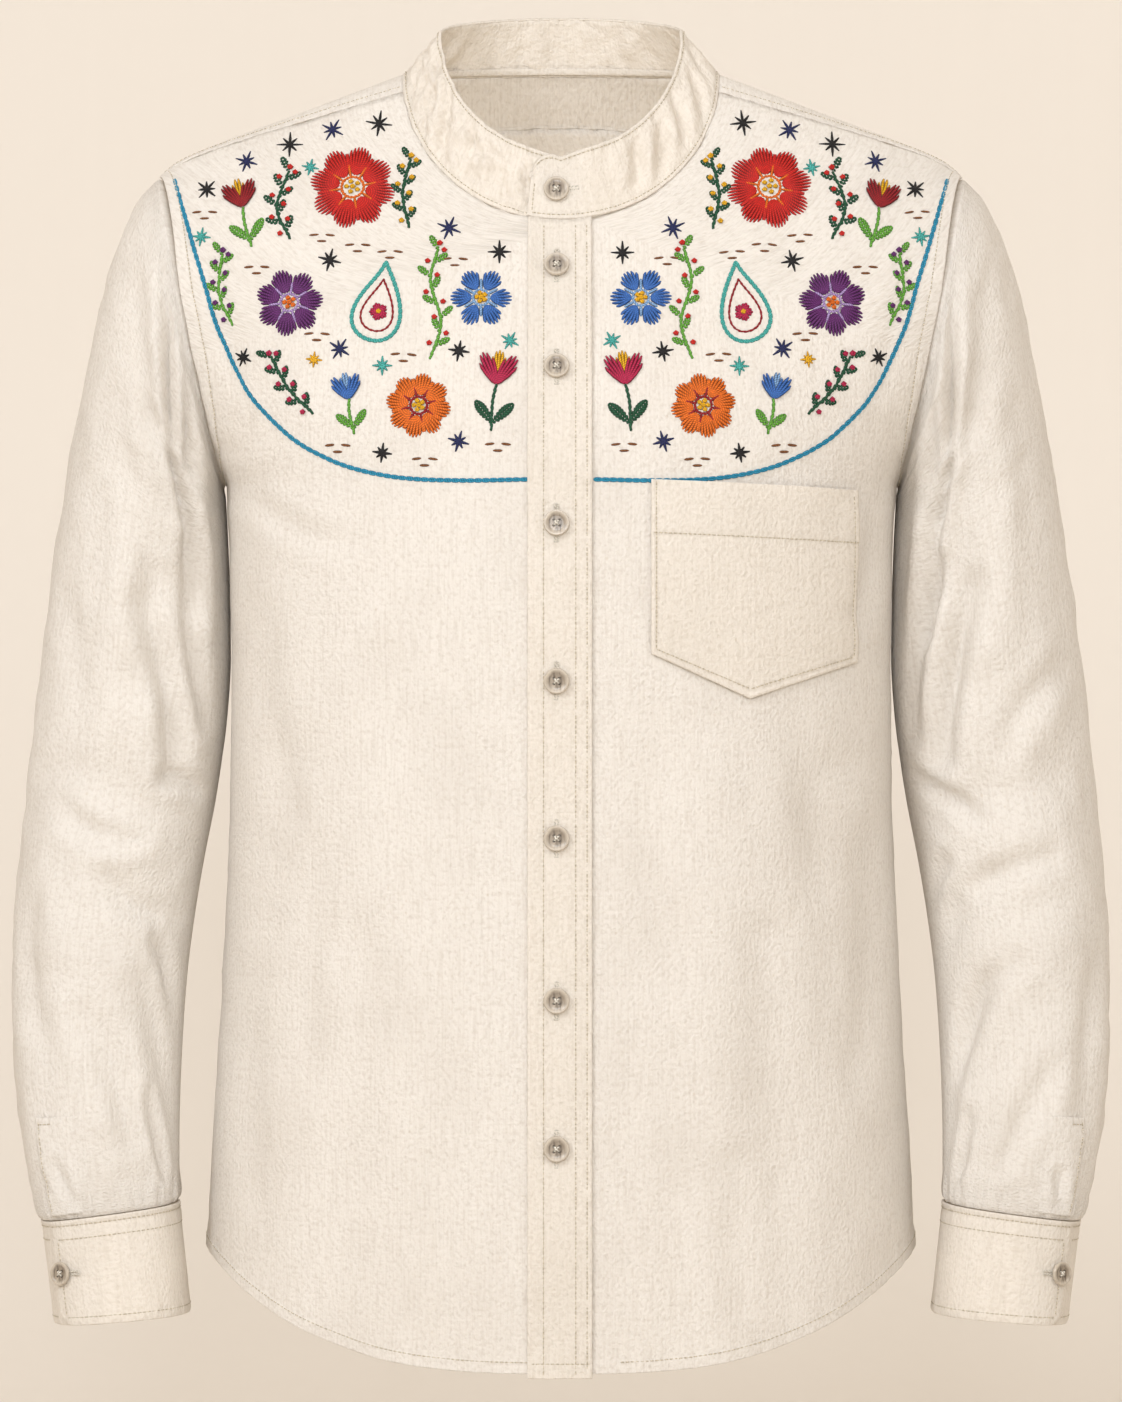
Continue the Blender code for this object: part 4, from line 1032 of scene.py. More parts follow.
@dataclass(frozen=True)
class PolishedHorn:
    """Horn-effect polyester, cast and tumbled: smoky grey-brown clouds under a gloss."""

    name: str = "smoky_horn"
    light: str = "#B5A998"
    middle: str = "#8A7D6D"
    dark: str = "#54483C"
    rim: str = "#CFC4B3"
    cloud_mm: float = 7.0
    # A paler rim, a painted highlight on the raised rim, starts 4.2 mm from the button's middle
    rim_highlight_limits: tuple[float, float] = (0.0042, 0.0058)

    def make(self) -> bpy.types.Material:
        """Make the material.

        Returns:
            The material.
        """
        material, tree, shader = start_material(self.name)
        place = add_node(tree, "ShaderNodeTexCoord").outputs["Object"]
        cloud = stretched_noise(tree, place, self.cloud_mm, self.cloud_mm * 1.8, 3.0)
        streak = stretched_noise(tree, place, 1.6, 6.0, 4.0)
        colour = dye(tree, linear(self.middle), cloud, (0.38, 0.60), 1.0, linear(self.light))
        colour = dye(tree, colour, streak, (0.46, 0.64), 0.8, linear(self.dark))
        flat = add_node(tree, "ShaderNodeVectorMath", {0: place, 1: (1.0, 1.0, 0.0)},
                        operation="MULTIPLY").outputs[0]
        out = add_node(tree, "ShaderNodeVectorMath", {0: flat}, operation="LENGTH").outputs["Value"]
        # Painted highlight: the raised rim is made paler by its distance from the middle
        colour = dye(tree, colour, out, self.rim_highlight_limits, 0.65, linear(self.rim))
        set_inputs(tree, shader, {
            "Base Color": colour, "Normal": raised(tree, streak, 0.1, 0.1), "Roughness": 0.32,
            "Coat Weight": 0.25, "Coat Roughness": 0.2})
        return material


@dataclass(frozen=True)
class MattPaper:
    """Seamless studio paper: matt, with a trace of fibre."""

    name: str = "studio_paper"
    colour: str = "#EEE8DF"
    fibre_mm: float = 14.0

    def make(self) -> bpy.types.Material:
        """Make the material.

        Returns:
            The material.
        """
        material, tree, shader = start_material(self.name)
        place = add_node(tree, "ShaderNodeTexCoord").outputs["Object"]
        fibre = stretched_noise(tree, place, self.fibre_mm, self.fibre_mm, 3.0)
        pale = linear(self.colour)
        colour = blend_colours(tree, fibre, darker(pale, 0.985), pale)
        set_inputs(tree, shader, {"Base Color": colour, "Roughness": 0.95,
                                  "Specular IOR Level": 0.1})
        # Seen from behind, the paper isn't there, so that the shirt's back can be looked at
        behind = add_node(tree, "ShaderNodeNewGeometry").outputs["Backfacing"]
        show_mixed(tree, behind, shader, add_node(tree, "ShaderNodeBsdfTransparent"))
        return material


class Shade(Enum):
    """Colours of the threads, by what a needleworker would call them."""

    TURQUOISE = "#2E9BBF"
    ORANGE = "#F2751C"
    NAVY = "#232B5E"
    TEAL = "#4DB8AE"
    BLACK = "#1C1A1C"
    CRIMSON = "#9E1B24"
    RED = "#D9241C"
    LEAF = "#6DB33F"
    FOREST = "#1F5A3C"
    BROWN = "#8A5630"
    GOLD = "#F5B81A"
    SKY = "#8DB6E4"
    BLUE = "#3F74C4"
    PLUM = "#6A2A70"
    ROSE = "#C22250"
    LILAC = "#B79AD0"
    CREAM = "#F3ECDD"


@dataclass
class Finishes:
    """The materials that the pieces share."""

    cloth: bpy.types.Material = field(init=False)
    trim: bpy.types.Material = field(init=False)
    sewing: bpy.types.Material = field(init=False)
    horn: bpy.types.Material = field(init=False)
    paper: bpy.types.Material = field(init=False)
    threads: dict[Shade, bpy.types.Material] = field(init=False)

    def __post_init__(self) -> None:
        """Make each material once."""
        self.cloth = CottonShirting("ivory_cotton", "#F1ECE4", "#DDD5CA").make()
        self.trim = CottonShirting("ivory_cotton_double", "#F2EBE0", "#E0D7C9").make()
        self.sewing = StrandedCotton("cream_sewing_thread", "#E6D9BF").make()
        self.horn = PolishedHorn().make()
        self.paper = MattPaper().make()
        self.threads = {shade: StrandedCotton("thread_" + shade.name.lower(), shade.value).make()
                        for shade in Shade}


def add_object(name: str, data: bpy.types.ID) -> bpy.types.Object:
    """A new object in the scene.

    Args:
        name: Its name.
        data: What it shows.

    Returns:
        The object.
    """
    made = bpy.data.objects.new(name, data)
    bpy.context.scene.collection.objects.link(made)
    return made


def add_mesh(name: str, points: np.ndarray, faces: list) -> bpy.types.Mesh:
    """A smooth mesh of points given in millimetres.

    Args:
        name: Its name.
        points: The points.
        faces: Faces as numbers of points.

    Returns:
        The mesh.
    """
    mesh = bpy.data.meshes.new(name)
    mesh.from_pydata((np.asarray(points) * METRES_PER_MM).tolist(), [], faces)
    mesh.shade_smooth()
    return mesh


def corner_points(mesh: bpy.types.Mesh) -> np.ndarray:
    """The number of the point at every corner of every face.

    Args:
        mesh: The mesh.

    Returns:
        The numbers.
    """
    corners = np.empty(len(mesh.loops), np.int32)
    mesh.loops.foreach_get("vertex_index", corners)
    return corners


def lay_grain(mesh: bpy.types.Mesh, spots: np.ndarray) -> None:
    """Keep the place on the flat cloth of every corner, given in millimetres."""
    layer = mesh.uv_layers.new(name=GRAIN_LAYER)
    layer.data.foreach_set("uv", (spots * METRES_PER_MM).astype(np.float32).ravel())


def runs_along(points: np.ndarray, axis: int) -> np.ndarray:
    """Distance of every point from the first one along an axis of a table of points.

    Args:
        points: The points.
        axis: The axis.

    Returns:
        The distances.
    """
    steps = np.linalg.norm(np.diff(points, axis=axis), axis=-1)
    start = [(1, 0) if number == axis else (0, 0) for number in range(steps.ndim)]
    return np.pad(np.cumsum(steps, axis=axis), start)


MIRROR = np.array((-1.0, 1.0, 1.0))


@dataclass
class ClothGrid:
    """Rows and columns of points through a piece of cloth, with their places on the flat
    cloth and a direction for each that is roughly outward."""

    points: np.ndarray
    grain: np.ndarray
    outside: np.ndarray
    closed: bool = False

    def normals(self) -> np.ndarray:
        """Outward direction at every point, from its neighbours.

        Returns:
            The directions.
        """
        along = np.gradient(self.points, axis=0)
        if self.closed:
            across = np.roll(self.points, -1, axis=1) - np.roll(self.points, 1, axis=1)
        else:
            across = np.gradient(self.points, axis=1)
        normal = unit(np.cross(across, along))
        return normal * math.copysign(1.0, float(np.sum(normal * self.outside)))

    def press(self, relief: np.ndarray) -> None:
        """Move every point outward by its relief."""
        self.points = self.points + self.normals() * relief[..., None]

    def edge_runs(self) -> Pair:
        """Distance of every point from its row's first point and from its last."""
        run = runs_along(self.points, 1)
        return run, run[:, -1:] - run

    def column_runs(self) -> np.ndarray:
        """Distance of every point from its column's first point."""
        return runs_along(self.points, 0)

    def mirrored(self) -> "ClothGrid":
        """The same grid on the other side of the shirt."""
        return ClothGrid(self.points * MIRROR, self.grain, self.outside * MIRROR, self.closed)

    def quads(self) -> list[list[int]]:
        """Faces between the points, turned outward.

        Returns:
            Four numbers of points for each face.
        """
        rows, columns = self.points.shape[:2]
        numbers = np.arange(rows * columns).reshape(rows, columns)
        right = np.roll(numbers, -1, axis=1) if self.closed else numbers[:, 1:]
        left = numbers if self.closed else numbers[:, :-1]
        faces = np.stack([left[:-1], right[:-1], right[1:], left[1:]], axis=-1).reshape(-1, 4)
        middle = faces[len(faces) // 2]
        corner = self.points.reshape(-1, 3)[middle]
        turned = np.cross(corner[2] - corner[0], corner[3] - corner[1])
        if np.dot(turned, self.normals().reshape(-1, 3)[middle[0]]) < 0.0:
            faces = faces[:, ::-1]
        return faces.tolist()


@dataclass
class Tailor:
    """Turns grids into cloth pieces."""

    finishes: Finishes

    def cut(self, name: str, grid: ClothGrid, wall: float, flat: tuple[float, float], held: str,
            rests_on: tuple[str, ...] = (), trim: bool = False, replaces: str = "") -> None:
        """Make one cloth piece as a thin shell.

        Args:
            name: The piece's name.
            grid: Its outer face.
            wall: Its thickness in millimetres, inward.
            flat: Width and length of its flat cut in metres. Not used.
            held: How the cloth is held. Not used.
            rests_on: The pieces that it rests on. Not used.
            trim: Whether it is of doubled cloth, a little yellower.
            replaces: The CAD node that it stands for.
        """
        mesh = add_mesh(name, grid.points.reshape(-1, 3), grid.quads())
        corners = corner_points(mesh)
        spots = grid.grain.reshape(-1, 2)[corners]
        if grid.closed:
            # Faces that close the tube carry on the grain past its last column
            column = corners % grid.points.shape[1]
            closing = np.repeat(np.ptp(column.reshape(-1, 4), axis=1) > 1, 4) & (column == 0)
            spots[closing, 0] += 2.0 * grid.grain[0, -1, 0] - grid.grain[0, -2, 0]
        lay_grain(mesh, spots)
        mesh.materials.append(self.finishes.trim if trim else self.finishes.cloth)
        piece = add_object(name, mesh)
        shell = piece.modifiers.new("wall", "SOLIDIFY")
        shell.thickness = wall * METRES_PER_MM
        shell.offset = -1.0
        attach(piece, "root")
        if replaces:
            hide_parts(replaces)
        LOG.info("%s: %d points", name, len(mesh.vertices))


# Corners of a thread's section: place across it and height over the cloth, as shares
THREAD_SECTION = np.array(((-0.5, -0.15), (-0.24, 0.78), (0.24, 0.78), (0.5, -0.15)))
THREAD_END_WIDTH = 0.42
THREAD_END_HEIGHT = 0.1
# Each thread's grain starts this much further on than the last one's
THREAD_SHIFT = 3.7


@dataclass
class ThreadWork:
    """Threads of one piece of work, joined to one mesh."""

    name: str
    groups: list = field(default_factory=list)

    def lay(self, lines: np.ndarray, ups: np.ndarray, width: float, height: float,
            material: bpy.types.Material) -> None:
        """Lay threads of one kind.

        Args:
            lines: Points of each thread on the cloth: threads, points, 3.
            ups: Directions away from the cloth at those points.
            width: The thread's width in millimetres.
            height: How high it stands.
            material: Its finish.
        """
        self.groups.append((lines, ups, width, height, material))

    def rings(self, lines: np.ndarray, ups: np.ndarray, width: float, height: float) -> np.ndarray:
        """Sections round the threads, narrow and low at both ends.

        Args:
            lines: Points of each thread.
            ups: Directions away from the cloth.
            width: The thread's width.
            height: How high it stands.

        Returns:
            The sections' points.
        """
        narrowed = np.ones(lines.shape[1])
        narrowed[[0, -1]] = THREAD_END_WIDTH
        lowered = np.ones(lines.shape[1])
        lowered[[0, -1]] = THREAD_END_HEIGHT
        aside = unit(np.cross(unit(np.gradient(lines, axis=1)), ups))
        across = THREAD_SECTION[:, 0] * width * narrowed[:, None]
        up = THREAD_SECTION[:, 1] * height * lowered[:, None]
        sideways = aside[:, :, None] * across[..., None]
        return lines[:, :, None] + sideways + ups[:, :, None] * up[..., None]

    def make(self) -> None:
        """Join the threads to one piece."""
        points, faces, spots, numbers = [], [], [], []
        materials = list(dict.fromkeys(group[4] for group in self.groups))
        offset = 0
        for lines, ups, width, height, material in self.groups:
            rings = self.rings(lines, ups, width, height)
            points.append(rings.reshape(-1, 3))
            spot = np.zeros(rings.shape[:3] + (2,))
            shift = np.arange(len(lines)) * THREAD_SHIFT
            spot[..., 0] = runs_along(lines, 1)[:, :, None] + shift[:, None, None]
            spot[..., 1] = THREAD_SECTION[:, 0] * width
            spots.append(spot.reshape(-1, 2))
            index = np.arange(rings.size // 3).reshape(rings.shape[:3]) + offset
            quads = np.stack([index[:, 1:, :-1], index[:, 1:, 1:], index[:, :-1, 1:],
                              index[:, :-1, :-1]], axis=-1).reshape(-1, 4)
            faces.append(quads)
            numbers.append(np.full(len(quads), materials.index(material), np.int32))
            offset += index.size
        mesh = add_mesh(self.name, np.concatenate(points), np.concatenate(faces).tolist())
        for material in materials:
            mesh.materials.append(material)
        mesh.polygons.foreach_set("material_index", np.concatenate(numbers))
        lay_grain(mesh, np.concatenate(spots)[corner_points(mesh)])
        piece = add_object(self.name, mesh)
        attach(piece, "root")
        LOG.info("%s: %d threads", self.name, sum(len(group[0]) for group in self.groups))


@dataclass
class Sewing:
    """Machine stitching: short stitches sunk a little in the cloth, in even rows."""

    finishes: Finishes
    pitch: float = 2.7
    stitch: float = 2.1
    # The thread is 0.3 mm thick, drawn 0.6 mm so that it shows
    width: float = 0.6
    height: float = 0.35
    works: dict[str, ThreadWork] = field(default_factory=dict)

    def sew(self, name: str, row: Pair, side: Side = Side.LEFT) -> None:
        """Sew a row of stitches.

        Args:
            name: The work that the row belongs to.
            row: Points of the row, as on the left side, and directions away from the cloth.
            side: The wearer's side, mirrored where it is the right.
        """
        line, up = row
        run = runs_along(line, 0)
        starts = np.arange(0.4, run[-1] - self.stitch, self.pitch)
        spots = starts[:, None] + np.array((0.0, 0.18, 0.5, 0.82, 1.0)) * self.stitch
        lines = np.stack([np.interp(spots, run, line[:, axis]) for axis in range(3)], axis=-1)
        ups = unit(np.stack([np.interp(spots, run, up[:, axis]) for axis in range(3)], axis=-1))
        if side is Side.RIGHT:
            lines, ups = lines * MIRROR, ups * MIRROR
        work = self.works.setdefault(name, ThreadWork(name))
        work.lay(lines, ups, self.width, self.height, self.finishes.sewing)

    def finish(self) -> None:
        """Make every work that has stitches."""
        for work in self.works.values():
            work.make()


def spread(start: float, end: float, count: int, near_start: tuple[float, ...] = (),
           near_end: tuple[float, ...] = ()) -> np.ndarray:
    """Even places with extra ones near the ends, where hems and seams need them.

    Args:
        start: The first place.
        end: The last place.
        count: How many even ones.
        near_start: Distances of extra ones from the start.
        near_end: Distances of extra ones from the end.

    Returns:
        The places.
    """
    places = list(np.linspace(start, end, count))
    places += [start + extra for extra in near_start] + [end - extra for extra in near_end]
    return np.unique(np.round(places, 6))


@dataclass
class SewnPiece:
    """What every piece of cloth shares: who cuts it and who sews it."""

    tailor: Tailor
    sewing: Sewing


@dataclass
class BodyPiece(SewnPiece):
    """What the fronts and the back share: their wall, their hem and their seams."""

    wall: float = 0.7
    hem_turn: float = 6.6
    seam_band: float = 6.6

    def rows(self, below: int, above: int) -> np.ndarray:
        """Rows from the hem to the armpit level, and on to the yoke's seam.

        Args:
            below: How many even rows there are below the armpit level.
            above: How many there are above it.

        Returns:
            The rows' places, with more of them at the hem's turn.
        """
        hem = np.array((0.7, 2.0, 5.6, 6.3, 7.0, 7.7)) / -LOWER_LENGTH
        return np.concatenate([spread(0.0, 1.0, below, hem), 1.0 + spread(0.0, 1.0, above)[1:]])

    def columns(self, count: int) -> np.ndarray:
        """Columns from the middle to the side, with more of them at the side's seam."""
        return spread(0.0, 1.0, count, (), np.array((0.8, 1.8, 5.6, 6.4, 7.2, 8.2)) / 200.0)

    def relief(self, grid: ClothGrid, rows: np.ndarray, edge: np.ndarray, above_hem: np.ndarray,
               seed: int) -> np.ndarray:
        """Raised turnings, sunk seams and puckers.

        Args:
            grid: The piece's points.
            rows: The places of its rows.
            edge: Distance of every point from the side seam and the armhole.
            above_hem: Distance of every point from the hem.
            seed: What the puckers are drawn from.

        Returns:
            How far each point is raised.
        """
        up, run = grid.column_runs(), grid.edge_runs()[0]
        armhole = smooth_step((rows[:, None] - 1.0) * 30.0)
        band = 0.5 * smooth_step((self.seam_band + 0.4 - edge) / 0.9)
        relief = armhole * (band + 0.3 * uneven(up, seed) * bell(edge, 8.5, 4.5))
        relief += (1.0 - armhole) * 0.35 * uneven(up, seed + 1) * bell(edge, 0.0, 6.0)
        relief -= 0.5 * (1.0 - armhole) * bell(edge, 0.0, 1.3)
        relief += 0.5 * smooth_step((self.hem_turn + 0.3 - above_hem) / 0.8)
        return relief + 0.42 * uneven(run, seed + 2) * bell(above_hem, 8.5, 6.0)

    def sew(self, name: str, place: Pair, side: Side, face: Face) -> None:
        """Sew a row of stitches along places seen from the front."""
        out, height = place
        self.sewing.sew(name, body_cloth(out * side.value, height, face, 0.55))


@dataclass
class Fronts(BodyPiece):
    """The two fronts, with their hems, side seams and armholes."""

    flat: tuple[float, float] = (0.262, 0.725)

    def build(self) -> None:
        """Make both fronts and sew them."""
        rows, columns = self.rows(112, 64), self.columns(58)
        for side, seed in ((Side.LEFT, 11), (Side.RIGHT, 23)):
            inner = FRONT_INNER_EDGES[side.value]
            out, height = front_place(rows[:, None], columns[None, :], inner)
            points, normal = body_cloth(out * side.value, height, Face.FRONT)
            grid = ClothGrid(points, np.stack([out * side.value, height], axis=-1), normal)
            run, edge = grid.edge_runs()
            grid.grain[..., 0] = run * side.value
            above_hem = height - hem_height(out)
            relief = self.relief(grid, rows, edge, above_hem, seed)
            relief += 0.3 * uneven(run, seed + 3) * smooth_step(1.0 - above_hem / 6.0)
            grid.press(relief)
            self.tailor.cut("front_cloth_" + side.word, grid, self.wall, self.flat, "hung",
                            ("yoke_cloth",), replaces="front_" + side.word)
            self.stitch(side, inner)

    def stitch(self, side: Side, inner: float) -> None:
        """Sew the hem and the armhole of a front.

        Args:
            side: Which front.
            inner: Distance of its front edge from the middle.
        """
        out, height = front_place(0.0, np.linspace(0.06, 0.995, 200), inner)
        self.sew("hem_stitching", (out, height + self.hem_turn - 0.4), side, Face.FRONT)
        rise = np.linspace(1.02, 1.985, 120)
        wide = armhole_point(mix(180.0, TIP_FRONT_ANGLE, rise - 1.0))[:, 0]
        place = front_place(rise, 1.0 - self.seam_band / (wide - 30.0), inner)
        self.sew("armhole_stitching", place, side, Face.FRONT)


@dataclass
class Back(BodyPiece):
    """The back, from side seam to side seam."""

    flat: tuple[float, float] = (0.560, 0.705)

    def build(self) -> None:
        """Make the back and sew it."""
        rows, columns = self.rows(100, 44), self.columns(56)
        out, height = back_place(rows[:, None], columns[None, :])
        out = np.concatenate([-out[:, :0:-1], out], axis=1)
        height = np.concatenate([height[:, :0:-1], height], axis=1)
        points, normal = body_cloth(out, height, Face.BACK)
        grid = ClothGrid(points, np.stack([out, height], axis=-1), normal)
        run, rest = grid.edge_runs()
        grid.grain[..., 0] = run
        relief = self.relief(grid, rows, np.minimum(run, rest), height - hem_height(out), 31)
        relief += 0.3 * uneven(run, 34) * bell(yoke_back_height(out) - height, 0.0, 9.0)
        grid.press(relief)
        self.tailor.cut("back_cloth", grid, self.wall, self.flat, "hung", ("yoke_cloth",),
                        replaces="back")
        for side in Side:
            out, height = back_place(0.0, np.linspace(0.0, 0.995, 200))
            self.sew("hem_stitching", (out, height + self.hem_turn - 0.4), side, Face.BACK)
            place = back_place(np.linspace(1.02, 1.98, 90), 1.0 - self.seam_band / 200.0)
            self.sew("armhole_stitching", place, side, Face.BACK)


@dataclass
class Yoke(SewnPiece):
    """The yoke, one piece over both shoulders, with the back's seam sewn under it."""

    wall: float = 0.9
    flat: tuple[float, float] = (0.480, 0.150)

    def place(self, turn: Places, share: Places) -> np.ndarray:
        """Points of the left half: turn 0 at the front seam, 1 at the middle of the back.

        Args:
            turn: Shares from front to back.
            share: Shares of the way across.

        Returns:
            The points.
        """
        turn, share = np.broadcast_arrays(np.asarray(turn, float), np.asarray(share, float))
        inner = neck_point(mix(YOKE_FRONT_ANGLE, 180.0, turn))
        step = turn * YOKE_STEPS
        on_armhole = np.clip(step / YOKE_ARMHOLE_STEPS, 0.0, 1.0)
        armhole = armhole_point(mix(360.0 + TIP_FRONT_ANGLE, YOKE_BACK_ANGLE, on_armhole))
        after = np.clip((step - YOKE_ARMHOLE_STEPS) / (YOKE_STEPS - YOKE_ARMHOLE_STEPS), 0.0, 1.0)
        out = mix(armhole_out(YOKE_BACK_SIDE), 0.0, after)
        height = yoke_back_height(out)
        seam = np.stack([out, body_y(out, height, Face.BACK), height], axis=-1)
        outer = np.where((step <= YOKE_ARMHOLE_STEPS)[..., None], armhole, seam)
        x = mix(inner[..., 0], outer[..., 0], share)
        y = mix(inner[..., 1], outer[..., 1], share)
        start = mix(float(neck_place(YOKE_FRONT_ANGLE)[0]), TIP_OUT - 0.4, share)
        start_y = body_y(start, yoke_front_height(start), Face.FRONT)
        ends = [body_y(end, yoke_front_height(end), Face.FRONT)
                for end in (float(neck_place(YOKE_FRONT_ANGLE)[0]), TIP_OUT - 0.4)]
        kept = np.maximum(1.0 - step / 3.0, 0.0)
        y = y + (start_y - mix(ends[0], ends[1], share)) * kept
        return np.stack([x, y, top_height(x, y)], axis=-1)

    def build(self) -> None:
        """Make the yoke and sew it."""
        turns = spread(0.0, 1.0, 70, (0.004, 0.010, 0.016))
        shares = spread(0.0, 1.0, 46, (), (0.008, 0.02, 0.04, 0.05, 0.06))
        half = self.place(turns[:, None], shares[None, :])
        points = np.concatenate([half, (half * MIRROR)[-2::-1]])
        upward = np.broadcast_to((0.0, 0.3, 1.0), points.shape)
        grid = ClothGrid(points, points[..., :2].copy(), upward)
        _, edge = grid.edge_runs()
        up = grid.column_runs()
        ends = np.minimum(up, up[-1:] - up)
        relief = 0.55 + 0.25 * uneven(up, 41) * bell(edge, 0.0, 7.0)
        relief = relief - 0.5 * bell(edge, 0.0, 1.4)
        relief = relief + 0.2 * uneven(edge, 42) * bell(ends, 0.0, 7.0)
        grid.press(relief)
        self.tailor.cut("yoke_cloth", grid, self.wall, self.flat, "stretched", replaces="yoke")
        for side in Side:
            shares = np.linspace(0.01, 0.99, 120)
            line = self.place(0.019, shares) + np.array((0.0, 0.0, 0.75))
            up = np.broadcast_to(unit(np.array((0.25, -0.45, 1.0))), line.shape)
            self.sewing.sew("yoke_stitching", (line, up), side)
            turns = np.linspace(0.37, 1.0, 140)
            line = self.place(turns, 0.975)
            up = np.broadcast_to(unit(np.array((0.1, 0.6, 0.8))), line.shape)
            self.sewing.sew("yoke_stitching", (line + up * 0.7, up), side)


@dataclass
class Collar(SewnPiece):
    """The stand collar: a doubled band with sewn edges, one end over the other."""

    wall: float = 1.6
    edge_stitch: float = 2.4
    flat: tuple[float, float] = (0.500, 0.050)

    def top_share(self, angle: Places) -> np.ndarray:
        """How far up the band reaches, less at its rounded tab.

        Args:
            angle: Angles in degrees.

        Returns:
            The shares.
        """
        run = (angle - COLLAR_ENDS[0]) * math.radians(1.0) * NECK_HALF_WIDTH
        inside = np.maximum(COLLAR_TAB_CORNER - run, 0.0)
        cut = COLLAR_TAB_CORNER - np.sqrt(np.maximum(COLLAR_TAB_CORNER ** 2 - inside ** 2, 0.0))
        height = np.linalg.norm(rim_point(angle) - neck_point(angle), axis=-1)
        return 1.0 - cut / height

    def build(self) -> None:
        """Make the band and sew it."""
        near = COLLAR_ENDS[0] + np.array((0.0, 0.3, 0.8, 1.5, 2.3, 3.2, 4.3, 5.6, 7.0, 8.5, 10.0))
        angles = np.concatenate([near, np.linspace(0.0, COLLAR_ENDS[1], 330)])
        shares = spread(0.0, 1.0, 26, (0.02, 0.04, 0.09), (0.015, 0.035, 0.055, 0.08))
        top = self.top_share(angles)
        share = shares[:, None] * top[None, :]
        points, normal = collar_cloth(angles[None, :], share)
        grain = np.stack(np.broadcast_arrays(np.radians(angles)[None, :] * 80.0, share * 40.0), -1)
        grid = ClothGrid(points, grain, normal)
        up = grid.column_runs()
        down = up[-1:] - up
        run, _ = grid.edge_runs()
        edge = np.minimum(up, down)
        relief = 0.38 * smooth_step((self.edge_stitch - edge) / 0.9)
        relief = relief - 0.5 * bell(down, 0.0, 0.8)
        relief = relief - 0.22 * bell(edge - self.edge_stitch, 0.3, 0.9)
        relief = relief + 0.3 * uneven(run, 51) * bell(edge, 4.5, 4.0)
        grid.press(relief + 0.3)
        self.tailor.cut("collar_cloth", grid, self.wall, self.flat, "folded", ("yoke_cloth",), True,
                        "collar_band")
        self.stitch()

    def stitch(self) -> None:
        """Sew the rim, the seam and the tab."""
        angles = np.linspace(COLLAR_ENDS[0] + 1.6, 366.0, 700)
        height = np.linalg.norm(rim_point(angles) - neck_point(angles), axis=-1)
        rim = self.top_share(angles) - self.edge_stitch / height
        self.sewing.sew("collar_stitching", collar_cloth(angles, rim, 0.55))
        self.sewing.sew("collar_stitching", collar_cloth(angles, self.edge_stitch / height, 0.55))
        shares = np.linspace(0.08, 0.5, 40)
        self.sewing.sew("collar_stitching",
                        collar_cloth(np.full(40, COLLAR_ENDS[0] + 1.6), shares, 0.45))


@dataclass
class Placket(SewnPiece):
    """The buttonhole strip on the left front, with its rows of stitching."""

    wall: float = 1.6
    rows_out: tuple[float, ...] = (-9.5, 8.0, 14.2)
    flat: tuple[float, float] = (0.037, 0.640)

    def foot(self) -> float:
        """Height of the strip's lower end."""
        return float(hem_height(0.0)) - PLACKET_EXTRA_LENGTH

    def build(self) -> None:
        """Make the strip and sew it."""
        outs = spread(PLACKET_FREE_EDGE, PLACKET_SEWN_EDGE, 22, (0.4, 1.0), (0.4, 1.0))
        shares = spread(0.0, 1.0, 190, (0.001, 0.009, 0.011, 0.013))
        top = neck_place(np.degrees(np.arcsin(outs / NECK_HALF_WIDTH)))[1] - 0.3
        height = mix(self.foot(), top[None, :], shares[:, None])
        points, normal = body_cloth(outs[None, :] + 0.0 * height, height, Face.FRONT, PLACKET_LIFT)
        grid = ClothGrid(points, np.stack([outs[None, :] + 0.0 * height, height], -1), normal)
        up = grid.column_runs()
        out = outs[None, :]
        relief = np.zeros_like(height)
        for number, row in enumerate(self.rows_out):
            near = bell(out, row, 1.1)
            relief -= 0.34 * near
            wide = bell(out, row, 3.4)
            relief += 0.34 * uneven(up, 61 + number) * wide
        edge = np.minimum(out - PLACKET_FREE_EDGE, PLACKET_SEWN_EDGE - out)
        relief += 0.3 * smooth_step((3.0 - edge) / 2.0)
        relief -= 0.5 * bell(edge, 0.0, 0.7)
        relief += 0.3 * uneven(up, 66) * bell(edge, 0.0, 4.0)
        grid.press(relief)
        self.tailor.cut("placket_cloth", grid, self.wall, self.flat, "folded",
                        ("front_cloth_left",), True, "front_placket")
        for row in self.rows_out:
            heights = np.linspace(self.foot() + 2.0, -84.0, 400)
            self.sewing.sew("placket_stitching",
                            body_cloth(np.full(400, row), heights, Face.FRONT, PLACKET_LIFT - 0.1))
        outs = np.linspace(PLACKET_FREE_EDGE + 1.5, PLACKET_SEWN_EDGE - 1.0, 40)
        self.sewing.sew("placket_stitching",
                        body_cloth(outs, self.foot() + 8.0, Face.FRONT, PLACKET_LIFT + 0.1))


